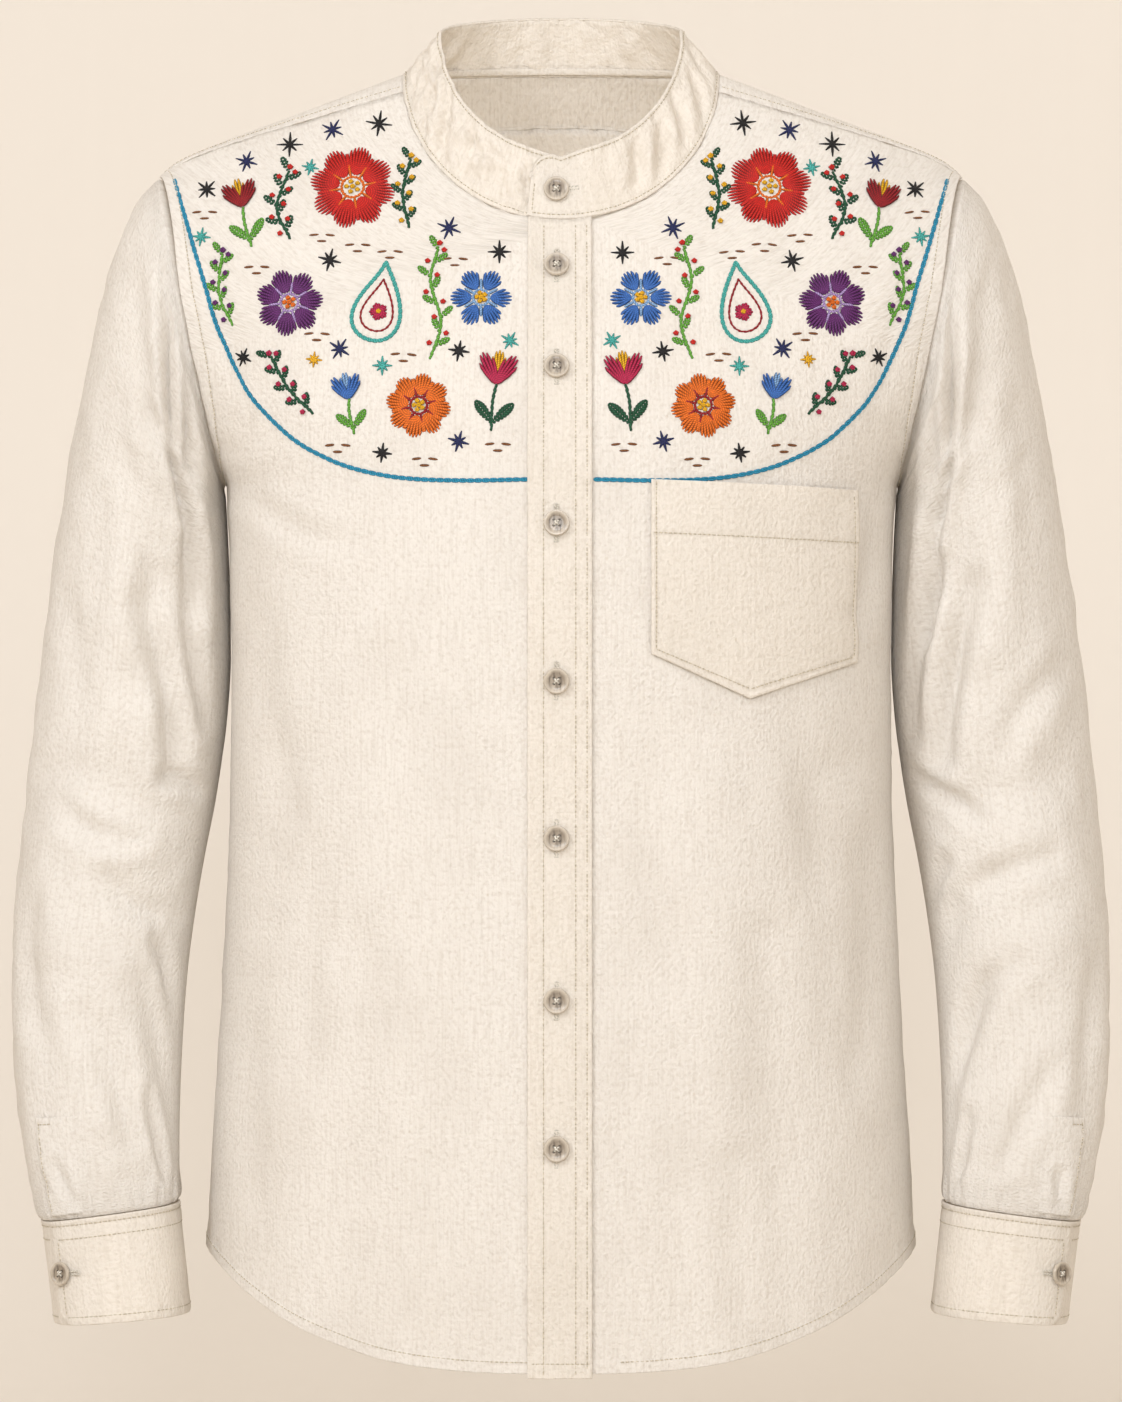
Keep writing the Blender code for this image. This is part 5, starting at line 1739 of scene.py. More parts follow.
@dataclass
class Pocket(SewnPiece):
    """The chest pocket, with its turned top and its pointed foot."""

    wall: float = 1.0
    inner: float = 49.0
    outer: float = 163.0
    top: float = -227.0
    tilt: float = -4.5
    corner: float = -322.0
    point: float = -344.5
    point_out: float = 103.0
    lift: float = 2.4
    hem_depth: float = 29.0
    edge_stitch: float = 2.8
    flat: tuple[float, float] = (0.120, 0.122)

    def foot(self, share: Places) -> np.ndarray:
        """Height of the lower edge across the pocket.

        Args:
            share: Shares of the way across.

        Returns:
            The heights.
        """
        peak = (self.point_out - self.inner) / (self.outer - self.inner)
        slope = np.where(share < peak, share / peak, (1.0 - share) / (1.0 - peak))
        return mix(self.corner, self.point, slope) + self.tilt * share

    def build(self) -> None:
        """Make the pocket and sew it."""
        peak = (self.point_out - self.inner) / (self.outer - self.inner)
        near = (0.004, 0.012, 0.02, 0.028)
        shares = np.unique(np.append(spread(0.0, 1.0, 48, near, near), peak))
        rises = spread(0.0, 1.0, 56, near, near)
        foot = self.foot(shares)
        top = self.top + self.tilt * shares
        height = mix(foot[None, :], top[None, :], rises[:, None])
        out = mix(self.inner, self.outer, shares[None, :]) + 0.0 * height
        points, normal = body_cloth(out, height, Face.FRONT, self.lift)
        grid = ClothGrid(points, np.stack([out + 900.0, height], -1), normal)
        side = np.minimum(out - self.inner, self.outer - out)
        below = (height - foot) * 0.93
        above = top - height
        edge = np.minimum(side, below)
        run = grid.column_runs() + grid.edge_runs()[0]
        relief = 0.25 * smooth_step((self.edge_stitch - edge) / 1.0)
        relief -= 0.3 * bell(edge, self.edge_stitch, 1.0)
        relief -= 0.6 * bell(edge, 0.0, 0.7)
        relief += 0.3 * uneven(run, 71) * bell(edge, 4.5, 3.5)
        relief -= 0.35 * bell(above, self.hem_depth, 1.0)
        relief += 0.35 * smooth_step((self.hem_depth - above) / 1.5)
        relief += 0.7 * bell(above, 0.0, 16.0) * smooth_step(side / 30.0)
        relief += 0.6 * smooth_step(edge / 30.0)
        grid.press(relief)
        self.tailor.cut("pocket_cloth", grid, self.wall, self.flat, "laid",
                        ("front_cloth_left",), True, "chest_pocket")
        self.stitch()

    def stitch(self) -> None:
        """Sew the edge and the turned top."""
        step = self.edge_stitch
        inner, outer = self.inner + step, self.outer - step
        lift = self.lift + 0.25
        around = [(inner, self.top - 1.0), (inner, self.corner + 2.4),
                  (self.point_out, self.point + 1.0 + step * 0.8), (outer, self.corner - 1.6),
                  (outer, self.top + self.tilt - 1.0)]
        for start, end in zip(around, around[1:]):
            shares = np.linspace(0.0, 1.0, 80)
            row = body_cloth(mix(start[0], end[0], shares), mix(start[1], end[1], shares),
                             Face.FRONT, lift)
            self.sewing.sew("pocket_stitching", row)
        shares = np.linspace(0.0, 1.0, 90)
        heights = self.top + self.tilt * shares - self.hem_depth
        outs = mix(self.inner + 1.0, self.outer - 1.0, shares)
        self.sewing.sew("pocket_stitching", body_cloth(outs, heights, Face.FRONT, lift + 0.5))


@dataclass
class Sleeve(SewnPiece):
    """One sleeve with the strip over its slit and its cuff."""

    side: Side
    wall: float = 0.7
    cuff_wall: float = 1.5
    flat: tuple[float, float] = (0.400, 0.620)
    cuff_flat: tuple[float, float] = (0.286, 0.060)
    strip_flat: tuple[float, float] = (0.027, 0.066)
    body_gap: float = 0.9

    def build(self) -> None:
        """Make the sleeve, its strip and its cuff."""
        self.build_tube()
        self.build_strip()
        self.build_cuff()

    def sided(self, grid: ClothGrid) -> ClothGrid:
        """The grid on this sleeve's side."""
        return grid if self.side is Side.LEFT else grid.mirrored()

    def build_tube(self) -> None:
        """Make the tube from the armhole to the cuff."""
        angles = np.linspace(0.0, 360.0, 133)[:-1]
        places = spread(0.0, 16.0, 150, (0.02, 0.05), (0.02, 0.05))
        points, normal = sleeve_cloth(angles[None, :], places[:, None], self.side)
        grain = np.stack(np.broadcast_arrays(angles[None, :] * 0.9, places[:, None] * 38.0), -1)
        grid = ClothGrid(points, grain.copy(), normal, closed=True)
        run = np.radians(angles)[None, :] * 62.0
        seed = 81 if self.side is Side.LEFT else 91
        down = places[:, None] * 30.0
        above = (16.0 - places[:, None]) * 24.0
        relief = -0.8 * bell(down, 0.0, 1.6)
        relief = relief + 0.4 * uneven(run, seed) * bell(down, 6.0, 8.0)
        relief = relief - 1.3 * bell(above, 0.0, 2.0)
        gathers = uneven(run, seed + 1, (9.1, 13.7, 23.3))
        relief = relief + 0.9 * gathers * bell(above, 9.0, 11.0)
        grid.press(relief)
        self.lean_on_body(grid, angles, places)
        middle = grid.points[0].mean(axis=0)
        grid.points[0] += (middle - grid.points[0]) * 0.02
        grid.points[0, :, 0] -= 3.2
        grid = self.sided(grid)
        self.tailor.cut("sleeve_cloth_" + self.side.word, grid, self.wall, self.flat, "hung",
                        ("yoke_cloth",), replaces="sleeve_" + self.side.word)

    def lean_on_body(self, grid: ClothGrid, angles: np.ndarray, places: np.ndarray) -> None:
        """Let the sleeve's inner side swell until it nearly rests against the body.

        Args:
            grid: The sleeve's points.
            angles: Angles in degrees.
            places: Rows of the sleeve's table.
        """
        inner = grid.points[:, int(np.argmin(np.abs(angles - 180.0)))]
        half, _, _ = body_section(inner[:, 2], Face.BACK)
        reach = np.clip(inner[:, 0] - half - self.body_gap, 0.0, 4.2)
        reach = reach * smooth_step((places - 0.9) / 1.1) * (1.0 - smooth_step((places - 6.8) / 1.6))
        around = bell(angles, 180.0, 30.0)
        grid.points[..., 0] -= reach[:, None] * around[None, :]

    def build_strip(self) -> None:
        """Make the strip over the slit."""
        shares = spread(0.0, 1.0, 14, (0.02,), (0.02,))
        places = spread(*SLIT_STRIP_ROWS, 34, (0.02,), ())
        angles = mix(*SLIT_STRIP_ANGLES, shares)
        fall = smooth_step((1.0 - shares) / 0.85)[None, :] * np.ones((len(places), 1))
        lift = mix(0.1, SLIT_STRIP_LIFT, fall)
        points, normal = sleeve_cloth(angles[None, :], places[:, None], self.side, lift)
        grain = np.stack(np.broadcast_arrays(angles[None, :] * 0.8, places[:, None] * 34.0), -1)
        grid = ClothGrid(points, grain.copy(), normal)
        run, rest = grid.edge_runs()
        up = grid.column_runs()
        edge = np.minimum(np.minimum(run, rest), up)
        relief = 0.2 * smooth_step((2.6 - edge) / 1.0) - 0.4 * bell(edge, 0.0, 0.7)
        relief += 0.25 * uneven(up, 101) * bell(edge, 3.0, 3.0)
        grid.press(relief - 0.2)
        grid = self.sided(grid)
        self.tailor.cut("slit_cloth_" + self.side.word, grid, 1.0, self.strip_flat, "folded",
                        ("sleeve_cloth_" + self.side.word,), False,
                        "sleeve_placket_" + self.side.word)
        places = np.linspace(SLIT_STRIP_ROWS[0] + 0.06, SLIT_STRIP_ROWS[1] - 0.05, 60)
        self.stitch_strip(np.full(60, mix(*SLIT_STRIP_ANGLES, 0.08)), places)
        angles = np.linspace(SLIT_STRIP_ANGLES[0] + 3.0, SLIT_STRIP_ANGLES[0] + 14.0, 30)
        self.stitch_strip(angles, np.full(30, SLIT_STRIP_ROWS[0] + 0.1))

    def stitch_strip(self, angles: np.ndarray, places: np.ndarray) -> None:
        """Sew a row on the strip over the slit."""
        row = sleeve_cloth(angles, places, self.side, SLIT_STRIP_LIFT)
        self.sewing.sew("sleeve_stitching", row, self.side)

    def cuff_foot(self, angles: np.ndarray) -> np.ndarray:
        """How far down the cuff reaches, less at its rounded corner.

        Args:
            angles: Angles in degrees.

        Returns:
            The shares.
        """
        base, _ = cuff_cloth(angles, np.full_like(angles, 0.5))
        start, _ = cuff_cloth(np.array(CUFF_EDGE_ANGLE), np.array(0.5))
        far = np.linalg.norm(base - start, axis=-1)
        inside = np.where(angles < 180.0, np.maximum(CUFF_CORNER - far, 0.0), 0.0)
        cut = CUFF_CORNER - np.sqrt(np.maximum(CUFF_CORNER ** 2 - inside ** 2, 0.0))
        return 1.0 - cut / 58.5

    def build_cuff(self) -> None:
        """Make the cuff and sew it."""
        finish = CUFF_EDGE_ANGLE + 360.0 + CUFF_OVERLAP_ANGLE
        near = CUFF_EDGE_ANGLE + np.array((0.0, 0.4, 0.9, 1.6, 2.6, 4.0, 5.6, 7.4, 9.4, 11.6))
        angles = np.concatenate([near, np.linspace(CUFF_EDGE_ANGLE + 14.0, finish, 150)])
        shares = spread(0.0, 1.0, 22, (0.012, 0.03, 0.05), (0.008, 0.02, 0.12, 0.14))
        foot = self.cuff_foot(angles)
        share = shares[:, None] * foot[None, :]
        points, normal = cuff_cloth(angles[None, :] + 0.0 * share, share)
        grain = np.stack([angles[None, :] * 0.8 + 0.0 * share, share * 60.0], -1)
        grid = ClothGrid(points, grain, normal)
        run, _ = grid.edge_runs()
        down = grid.column_runs()
        above = down[-1:] - down
        seed = 111 if self.side is Side.LEFT else 121
        relief = 0.45 * smooth_step((2.6 - down) / 0.8)
        relief = relief - 0.35 * bell(down, 3.2, 0.9)
        relief = relief - 0.25 * bell(down, 10.6, 0.9)
        relief = relief - 0.25 * bell(above, 4.4, 0.9)
        relief = relief - 0.25 * bell(run, 8.2, 0.9) * smooth_step((down - 9.0) / 2.0)
        relief = relief + 0.3 * uneven(run, seed) * bell(down, 7.0, 4.5)
        relief = relief + 0.32 * uneven(run, seed + 1) * bell(above, 4.0, 4.5)
        edge = np.minimum(above, run)
        relief = relief - 0.5 * bell(edge, 0.0, 0.8)
        grid.press(relief)
        grid = self.sided(grid)
        self.tailor.cut("cuff_cloth_" + self.side.word, grid, self.cuff_wall, self.cuff_flat,
                        "folded", ("sleeve_cloth_" + self.side.word,), True,
                        "cuff_" + self.side.word)
        self.stitch_cuff(finish)

    def stitch_cuff(self, finish: float) -> None:
        """Sew the rows round the cuff and the row along its end.

        Args:
            finish: Where the cuff's end lies.
        """
        for share, start in ((0.052, CUFF_EDGE_ANGLE + 1.5), (0.18, CUFF_EDGE_ANGLE + 9.0),
                             (0.925, CUFF_EDGE_ANGLE + 10.0)):
            angles = np.linspace(start, finish - 50.0, 340)
            self.sewing.sew("cuff_stitching", cuff_cloth(angles, np.full(340, share), 0.05), self.side)
        angles = np.full(50, CUFF_EDGE_ANGLE + 9.4)
        self.sewing.sew("cuff_stitching",
                        cuff_cloth(angles, np.linspace(0.2, 0.91, 50), 0.05), self.side)


@dataclass
class Buttons:
    """Four-hole buttons with a raised rim, their thread and their buttonholes."""

    finishes: Finishes
    radius: float = 7.1
    cuff_radius: float = 6.6
    thick: float = 2.6
    rim: float = 1.5
    dish: float = 0.7
    hole_radius: float = 0.75
    hole_out: float = 1.5
    steps: int = 56
    hole_steps: int = 16
    seat: float = 0.4
    thread_width: float = 1.25
    thread_height: float = 0.8
    threads: ThreadWork = field(default_factory=lambda: ThreadWork("button_threads"))
    holes: ThreadWork = field(default_factory=lambda: ThreadWork("buttonholes"))

    def profile(self, radius: float) -> list[tuple[float, float]]:
        """Distance out and height of a button's outline, from its dish over the rim to its back.

        Args:
            radius: The button's radius.

        Returns:
            The outline's points.
        """
        floor, thick, rim = self.thick - self.dish, self.thick, self.rim
        return [(radius * 0.5, floor), (radius - rim * 1.7, floor + 0.02),
                (radius - rim * 1.25, floor + 0.3), (radius - rim * 0.95, thick - 0.05),
                (radius - rim * 0.6, thick + 0.05), (radius - rim * 0.3, thick),
                (radius - 0.12, thick * 0.8), (radius, thick * 0.55),
                (radius - 0.25, thick * 0.25), (radius * 0.86, 0.0)]

    def shape(self, name: str, radius: float) -> bpy.types.Mesh:
        """Mesh of one button, with its holes cut through.

        Args:
            name: The mesh's name.
            radius: The button's radius.

        Returns:
            The mesh.
        """
        profile = self.profile(radius)
        points = [(0.0, 0.0, self.thick - self.dish)]
        for out, up in profile:
            points += [(out * math.cos(turn), out * math.sin(turn), up)
                       for turn in np.linspace(0.0, 2.0 * math.pi, self.steps, endpoint=False)]
        points.append((0.0, 0.0, 0.0))
        last = 1 + (len(profile) - 1) * self.steps
        faces = []
        for place in range(self.steps):
            beside = (place + 1) % self.steps
            faces.append((0, 1 + place, 1 + beside))
            faces += [(start + place, start + self.steps + place, start + self.steps + beside,
                       start + beside) for start in range(1, last, self.steps)]
            faces.append((last + place, len(points) - 1, last + beside))
        body = add_object(name, add_mesh(name, points, faces))
        drill = self.drill(name + "_drill")
        cut = body.modifiers.new("holes", "BOOLEAN")
        cut.object = drill
        cut.operation = "DIFFERENCE"
        cut.solver = "EXACT"
        depsgraph = bpy.context.evaluated_depsgraph_get()
        mesh = bpy.data.meshes.new_from_object(body.evaluated_get(depsgraph))
        for leftover in (body, drill):
            bpy.data.objects.remove(leftover, do_unlink=True)
        mesh.set_sharp_from_angle(angle=math.radians(40.0))
        mesh.materials.clear()
        mesh.materials.append(self.finishes.horn)
        return mesh

    def drill(self, name: str) -> bpy.types.Object:
        """Four upright rods where the holes go.

        Args:
            name: Its name.

        Returns:
            The rods.
        """
        points, faces = [], []
        count = self.hole_steps
        for across, along in ((1, 1), (-1, 1), (-1, -1), (1, -1)):
            start = len(points)
            for up in (-1.0, self.thick + 1.0):
                points += [(across * self.hole_out + self.hole_radius * math.cos(turn),
                            along * self.hole_out + self.hole_radius * math.sin(turn), up)
                           for turn in np.linspace(0.0, 2.0 * math.pi, count, endpoint=False)]
            faces.append(tuple(start + place for place in reversed(range(count))))
            faces.append(tuple(start + count + place for place in range(count)))
            faces += [(start + place, start + (place + 1) % count,
                       start + count + (place + 1) % count, start + count + place)
                      for place in range(count)]
        return add_object(name, add_mesh(name, points, faces))

    def build(self) -> None:
        """Make every button with its thread and its buttonhole."""
        mesh = self.shape("button_form", self.radius)
        cuff_mesh = self.shape("cuff_button_form", self.cuff_radius)
        point, up = collar_cloth(np.array(-2.0), np.array(0.46), self.seat + 0.05)
        self.sew_on("button_horn_1", "button_1", mesh, point, up)
        across = unit(np.array((1.0, -0.1, 0.12)))
        self.buttonhole(point + across * 3.0, up, across, 9.5)
        for number, height in enumerate(BUTTON_HEIGHTS, 2):
            lift = PLACKET_LIFT + self.seat
            point, up = body_cloth(np.array(BUTTON_OUT), np.array(height), Face.FRONT, lift)
            self.sew_on("button_horn_%d" % number, "button_%d" % number, mesh, point, up)
            self.buttonhole(point, up, np.array((0.0, 0.0, 1.0)), 10.2)
        for side in Side:
            flip = np.array((side.value, 1.0, 1.0))
            point, up = cuff_cloth(np.array(50.0), np.array(0.5), self.seat)
            self.sew_on("cuff_button_horn_" + side.word, "cuff_button_" + side.word, cuff_mesh,
                        point * flip, up * flip)
            beside, _ = cuff_cloth(np.array(60.0), np.array(0.5), self.seat)
            across = unit((beside - point) * flip)
            self.buttonhole(point * flip + across * 3.0, up * flip, across, 8.5)
        self.threads.make()
        self.holes.make()

    def sew_on(self, name: str, node: str, mesh: bpy.types.Mesh, seat: np.ndarray,
               above: np.ndarray) -> None:
        """Place a button on its seat and sew it with a crossed thread.

        Args:
            name: The piece's name.
            node: The CAD node that it stands for.
            mesh: The button's form.
            seat: Where its back lies.
            above: Direction away from the cloth.
        """
        above = unit(above)
        turned = Vector(above).to_track_quat("Z", "Y")
        placed = add_object(name, mesh)
        placed.location = Vector(seat * METRES_PER_MM)
        placed.rotation_euler = turned.to_euler()
        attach(placed, "root")
        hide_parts(node)
        first = np.array(turned @ Vector((1.0, 0.0, 0.0)))
        second = np.array(turned @ Vector((0.0, 1.0, 0.0)))
        shares = np.linspace(-1.0, 1.0, 7)
        lines = []
        for way, higher in ((1.0, 0.25), (-1.0, 0.0)):
            bow = self.thick - self.dish + 0.45 * (1.0 - shares ** 4) + higher - 0.3
            lines.append(seat + np.outer(shares * self.hole_out, first)
                         + np.outer(shares * way * self.hole_out, second) + np.outer(bow, above))
        self.threads.lay(np.array(lines), np.broadcast_to(above, (2, 7, 3)), self.thread_width,
                         self.thread_height, self.finishes.threads[Shade.CREAM])

    def buttonhole(self, middle: np.ndarray, up: np.ndarray, along: np.ndarray,
                   half: float) -> None:
        """Sew a buttonhole: two edges of close stitches, with a bar at each end.

        Args:
            middle: The hole's middle.
            up: Direction away from the cloth.
            along: Roughly the hole's direction.
            half: Half its length.
        """
        along = unit(along - up * np.dot(along, up))
        aside = np.cross(up, along)
        low = middle - up * (self.seat - 0.02)
        lines = []
        for way in (-1.0, 1.0):
            for place in np.arange(-half, half, 0.75):
                start = low + along * place + aside * way * 0.15
                end = low + along * (place + 0.1) + aside * way * 1.5
                lines.append(np.linspace(start, end, 4))
        for end in (-half, half):
            start = low + along * end - aside * 1.5
            lines.append(np.linspace(start, start + aside * 3.0, 4))
        lines = np.array(lines)
        self.holes.lay(lines, np.broadcast_to(up, lines.shape), 0.85, 0.42,
                       self.finishes.threads[Shade.CREAM])


def heading(degrees: float) -> np.ndarray:
    """A direction of length one at an angle."""
    return np.array((math.cos(math.radians(degrees)), math.sin(math.radians(degrees))))


def left_of(way: np.ndarray) -> np.ndarray:
    """The direction square to another one."""
    return np.stack([-way[..., 1], way[..., 0]], axis=-1)


@dataclass
class Needlework:
    """Hand embroidery on the chest: a general design of flowers, leaves and stars."""

    finishes: Finishes
    side: Side
    lift: float = 0.1
    thread: float = 1.95
    groups: dict = field(default_factory=dict)

    def stitch(self, lines: np.ndarray | list, shade: Shade, width: float, height: float = 0.6,
               over: float = 0.0) -> None:
        """Keep stitches for the end, when they are laid on the cloth.

        Args:
            lines: Points of each stitch, as distance from the middle and height.
            shade: The thread's colour.
            width: Its width in millimetres.
            height: How high it stands.
            over: How much higher it lies where it crosses others.
        """
        lines = np.asarray(lines, float)
        if lines.ndim == 2:
            lines = lines[None]
        self.groups.setdefault((shade, width, height, over, lines.shape[1]), []).append(lines)

    def curve(self, points: np.ndarray | list, count: int) -> np.ndarray:
        """Even points on a smooth line through a few given ones.

        Args:
            points: The given points.
            count: How many points to make.

        Returns:
            The line.
        """
        points = np.asarray(points, float)
        table = np.column_stack([runs_along(points, 0), points])
        fine = np.linspace(0.0, table[-1, 0], 400)
        line = np.stack([smooth_value(table, 1, fine), smooth_value(table, 2, fine)], -1)
        run = runs_along(line, 0)
        places = np.linspace(0.0, run[-1], count)
        return np.stack([np.interp(places, run, line[:, axis]) for axis in range(2)], -1)

    def count_along(self, points: np.ndarray | list, step: float) -> int:
        """How many stitches of a step fit along a line."""
        return max(int(runs_along(np.asarray(points, float), 0)[-1] / step), 2)

    def stem(self, points: np.ndarray | list, shade: Shade, width: float = 1.6,
             length: float = 5.0) -> None:
        """Stem stitch: slanting stitches that overlap along a line.

        Args:
            points: A few points of the line.
            shade: The thread's colour.
            width: Its width.
            length: The length of a stitch.
        """
        count = self.count_along(points, length * 0.62)
        line = self.curve(points, count * 4 + 1)
        aside = left_of(unit(np.gradient(line, axis=0)))
        slant = np.array((-0.34, -0.2, 0.0, 0.2, 0.34))[:, None] * width
        made = []
        for number in range(count):
            picks = np.clip(np.array((0, 1, 3, 5, 6)) + number * 4 - 1, 0, len(line) - 1)
            made.append(line[picks] + aside[picks] * slant)
        self.stitch(made, shade, width)

    def chain(self, points: np.ndarray | list, shade: Shade, link: float = 4.4,
              width: float = 2.2) -> None:
        """Chain stitch: open links, each from inside the last.

        Args:
            points: A few points of the line.
            shade: The thread's colour.
            link: The length of a link.
            width: Its width.
        """
        line = self.curve(points, self.count_along(points, link * 0.8) + 1)
        shares = np.array((0.0, 0.3, 0.62, 0.95, 1.22))
        bows = np.array((0.08, 0.22, 0.27, 0.22, 0.06)) * width
        made = []
        for start, end in zip(line, line[1:]):
            aside = left_of(unit(end - start))
            for way in (-1.0, 1.0):
                made.append(start + shares[:, None] * (end - start) + way * bows[:, None] * aside)
        self.stitch(made, shade, 1.45, 0.8)

    def petal(self, base: np.ndarray, tip: np.ndarray, breadth: float, shade: Shade,
              over: float = 0.0) -> None:
        """A petal in satin stitch, its threads running from its foot to its edge.

        Args:
            base: Its foot.
            tip: Its tip.
            breadth: Its breadth.
            shade: The thread's colour.
            over: How much higher it lies where it crosses others.
        """
        run = tip - base
        aside = left_of(unit(run))
        count = max(int(breadth / (self.thread * 0.86)), 3)
        made = []
        for number in range(count):
            across = (number + 0.5) / count * 2.0 - 1.0
            reach = 1.0 - 0.42 * abs(across) ** 2.2
            shares = np.array((0.02, 0.16, 0.5, 0.84, 1.0)) * reach
            bows = across * breadth / 2.0 * np.sin(np.clip(shares * 1.9, 0.0, 1.75)) ** 0.8
            made.append(base + shares[:, None] * run + bows[:, None] * aside)
        self.stitch(made, shade, self.thread, 0.85, over)

    def leaf(self, base: np.ndarray, tip: np.ndarray, breadth: float, shade: Shade) -> None:
        """A leaf in fishbone stitch, its threads slanting from its middle vein.

        Args:
            base: Its foot.
            tip: Its tip.
            breadth: Its breadth.
            shade: The thread's colour.
        """
        length = float(np.linalg.norm(tip - base))
        way = unit(tip - base)
        count = max(int(length / (self.thread * 0.85)), 4)
        shares = np.array((0.0, 0.2, 0.5, 0.8, 1.0))[:, None]
        made = []
        for number in range(count):
            share = (number + 0.3) / count
            half = breadth / 2.0 * math.sin(math.pi * min(share * 0.9 + 0.08, 1.0)) ** 0.8
            start = base + way * length * share
            for sign in (-1.0, 1.0):
                end = start + way * half * 0.9 + left_of(way) * sign * half
                made.append(start + (end - start) * shares)
        self.stitch(made, shade, self.thread * 0.95, 0.7)

    def knot(self, middle: np.ndarray, size: float, shade: Shade) -> None:
        """A French knot: a small coil of thread.

        Args:
            middle: The knot's middle.
            size: Its size.
            shade: The thread's colour.
        """
        turns = np.linspace(0.0, 1.7 * 2.0 * math.pi, 9)
        out = np.linspace(0.15, 0.5, 9) * size
        line = middle + np.stack([out * np.cos(turns), out * np.sin(turns)], -1)
        self.stitch(line, shade, self.thread * 0.8, 0.95, 0.5)

    def blossom(self, x: float, z: float, size: float, turn: float, petals: int, outer: Shade,
                inner: Shade, heart: Shade) -> None:
        """An open flower with satin petals, an inner ring and a heart of knots.

        Args:
            x: Distance of its middle from the shirt's middle.
            z: Height of its middle.
            size: Its diameter.
            turn: Direction of its first petal in degrees.
            petals: How many petals it has.
            outer: Their colour.
            inner: The inner ring's colour.
            heart: The knots' colour.
        """
        middle = np.array((x, z), float)
        breadth = size * 1.02 * math.tan(math.pi / petals) if petals > 4 else size * 0.46
        spoke = np.array((0.13, 0.17, 0.22, 0.27, 0.31))[:, None] * size
        for number in range(petals):
            angle = turn + 360.0 * number / petals
            way = heading(angle)
            self.petal(middle + way * size * 0.15, middle + way * size * 0.5,
                       min(breadth, size * 0.40) * 0.86, outer)
            self.stitch(middle + heading(angle + 180.0 / petals) * spoke, inner, self.thread, 0.85)
        ring = [middle + size * 0.13 * heading(angle) for angle in np.linspace(0.0, 360.0, 13)]
        self.stem(ring, inner, 1.4, 3.6)
        self.knot(middle, 2.6, heart)
        for number in range(5):
            self.knot(middle + size * 0.07 * heading(72.0 * number), 2.2, heart)

    def tulip(self, x: float, z: float, size: float, turn: float, petal: Shade, middle: Shade,
              green: Shade) -> None:
        """A closed flower on a stalk with two long leaves.

        Args:
            x: Distance of its middle from the shirt's middle.
            z: Height of its middle.
            size: Its height.
            turn: How far it leans in degrees.
            petal: The outer petals' colour.
            middle: The inner petal's colour.
            green: The stalk's colour.
        """
        aside = heading(turn)
        up = left_of(aside)
        head = np.array((x, z)) + up * size * 0.12
        self.petal(head + up * size * 0.10, head + up * size * 0.44, size * 0.20, middle)
        for sign in (-1.0, 1.0):
            tip = head + up * size * 0.38 + aside * sign * size * 0.21
            self.petal(head, tip, size * 0.22, petal, 0.7)
        foot = np.array((x, z)) - up * size * 0.46
        self.stem([head, np.array((x, z)) - up * size * 0.1 + aside * 1.0, foot], green)
        start = foot + up * size * 0.10
        for sign in (-1.0, 1.0):
            tip = start + up * size * 0.26 + aside * sign * size * 0.24
            self.leaf(start, tip, size * 0.13, green)

    def sprig(self, points: list, green: Shade, berry: Shade, leaf_size: float = 9.0) -> None:
        """A curved stalk with leaves on both sides and a berry at each leaf's foot.

        Args:
            points: A few points of the stalk.
            green: The stalk's colour.
            berry: The berries' colour.
            leaf_size: The length of a leaf.
        """
        self.stem(points, green)
        line = self.curve(points, 9)
        for number in range(1, 9):
            way = unit(line[number] - line[number - 1])
            side = left_of(way) * (1.0 if number % 2 else -1.0)
            tip = line[number] + (way + side) * 0.75 * leaf_size
            self.leaf(line[number], tip, leaf_size * 0.42, green)
            self.knot(line[number] - side * leaf_size * 0.42, 2.6, berry)
        self.knot(line[-1] + (line[-1] - line[-2]) * 0.4, 3.0, berry)

    def paisley(self, x: float, z: float, size: float, turn: float, edge: Shade, inner: Shade,
                dot: Shade) -> None:
        """A curled teardrop with two outlines and a small flower in it.

        Args:
            x: Distance of its middle from the shirt's middle.
            z: Height of its middle.
            size: Its height.
            turn: How far it leans in degrees.
            edge: The outer line's colour.
            inner: The inner line's colour.
            dot: The small flower's colour.
        """
        around = 2.0 * math.pi * np.linspace(0.0, 1.0, 22)
        taper = np.sin(around / 2.0) ** 1.3
        local = np.stack([0.42 * np.sin(around) * taper + 0.18 * np.cos(around / 2.0) ** 6,
                          0.5 * np.cos(around) - 0.02], -1)
        spin = np.stack([heading(turn), heading(turn)[::-1] * np.array((-1.0, 1.0))])
        middle = np.array((x, z), float)
        self.chain((local * size) @ spin + middle, edge, 3.8, 2.0)
        self.stem(((local * 0.66 + np.array((0.0, -0.05))) * size) @ spin + middle, inner, 1.05)
        heart = middle + (np.array((0.0, -0.14)) * size) @ spin
        for number in range(5):
            way = heading(72.0 * number)
            self.petal(heart + way * 0.8, heart + way * size * 0.12, size * 0.1, dot)
        self.knot(heart, 2.4, Shade.GOLD)

    def star(self, x: float, z: float, size: float, turn: float, shade: Shade) -> None:
        """A star of four crossing straight stitches.

        Args:
            x: Distance of its middle from the shirt's middle.
            z: Height of its middle.
            size: Its diameter.
            turn: Direction of its first stitch in degrees.
            shade: The thread's colour.
        """
        shares = np.linspace(-1.0, 1.0, 5)[:, None]
        for number in range(4):
            reach = size / 2.0 * (1.0 if number % 2 == 0 else 0.74)
            line = np.array((x, z)) + heading(turn + 45.0 * number) * shares * reach
            self.stitch(line, shade, 1.7, 0.6 + 0.12 * number)

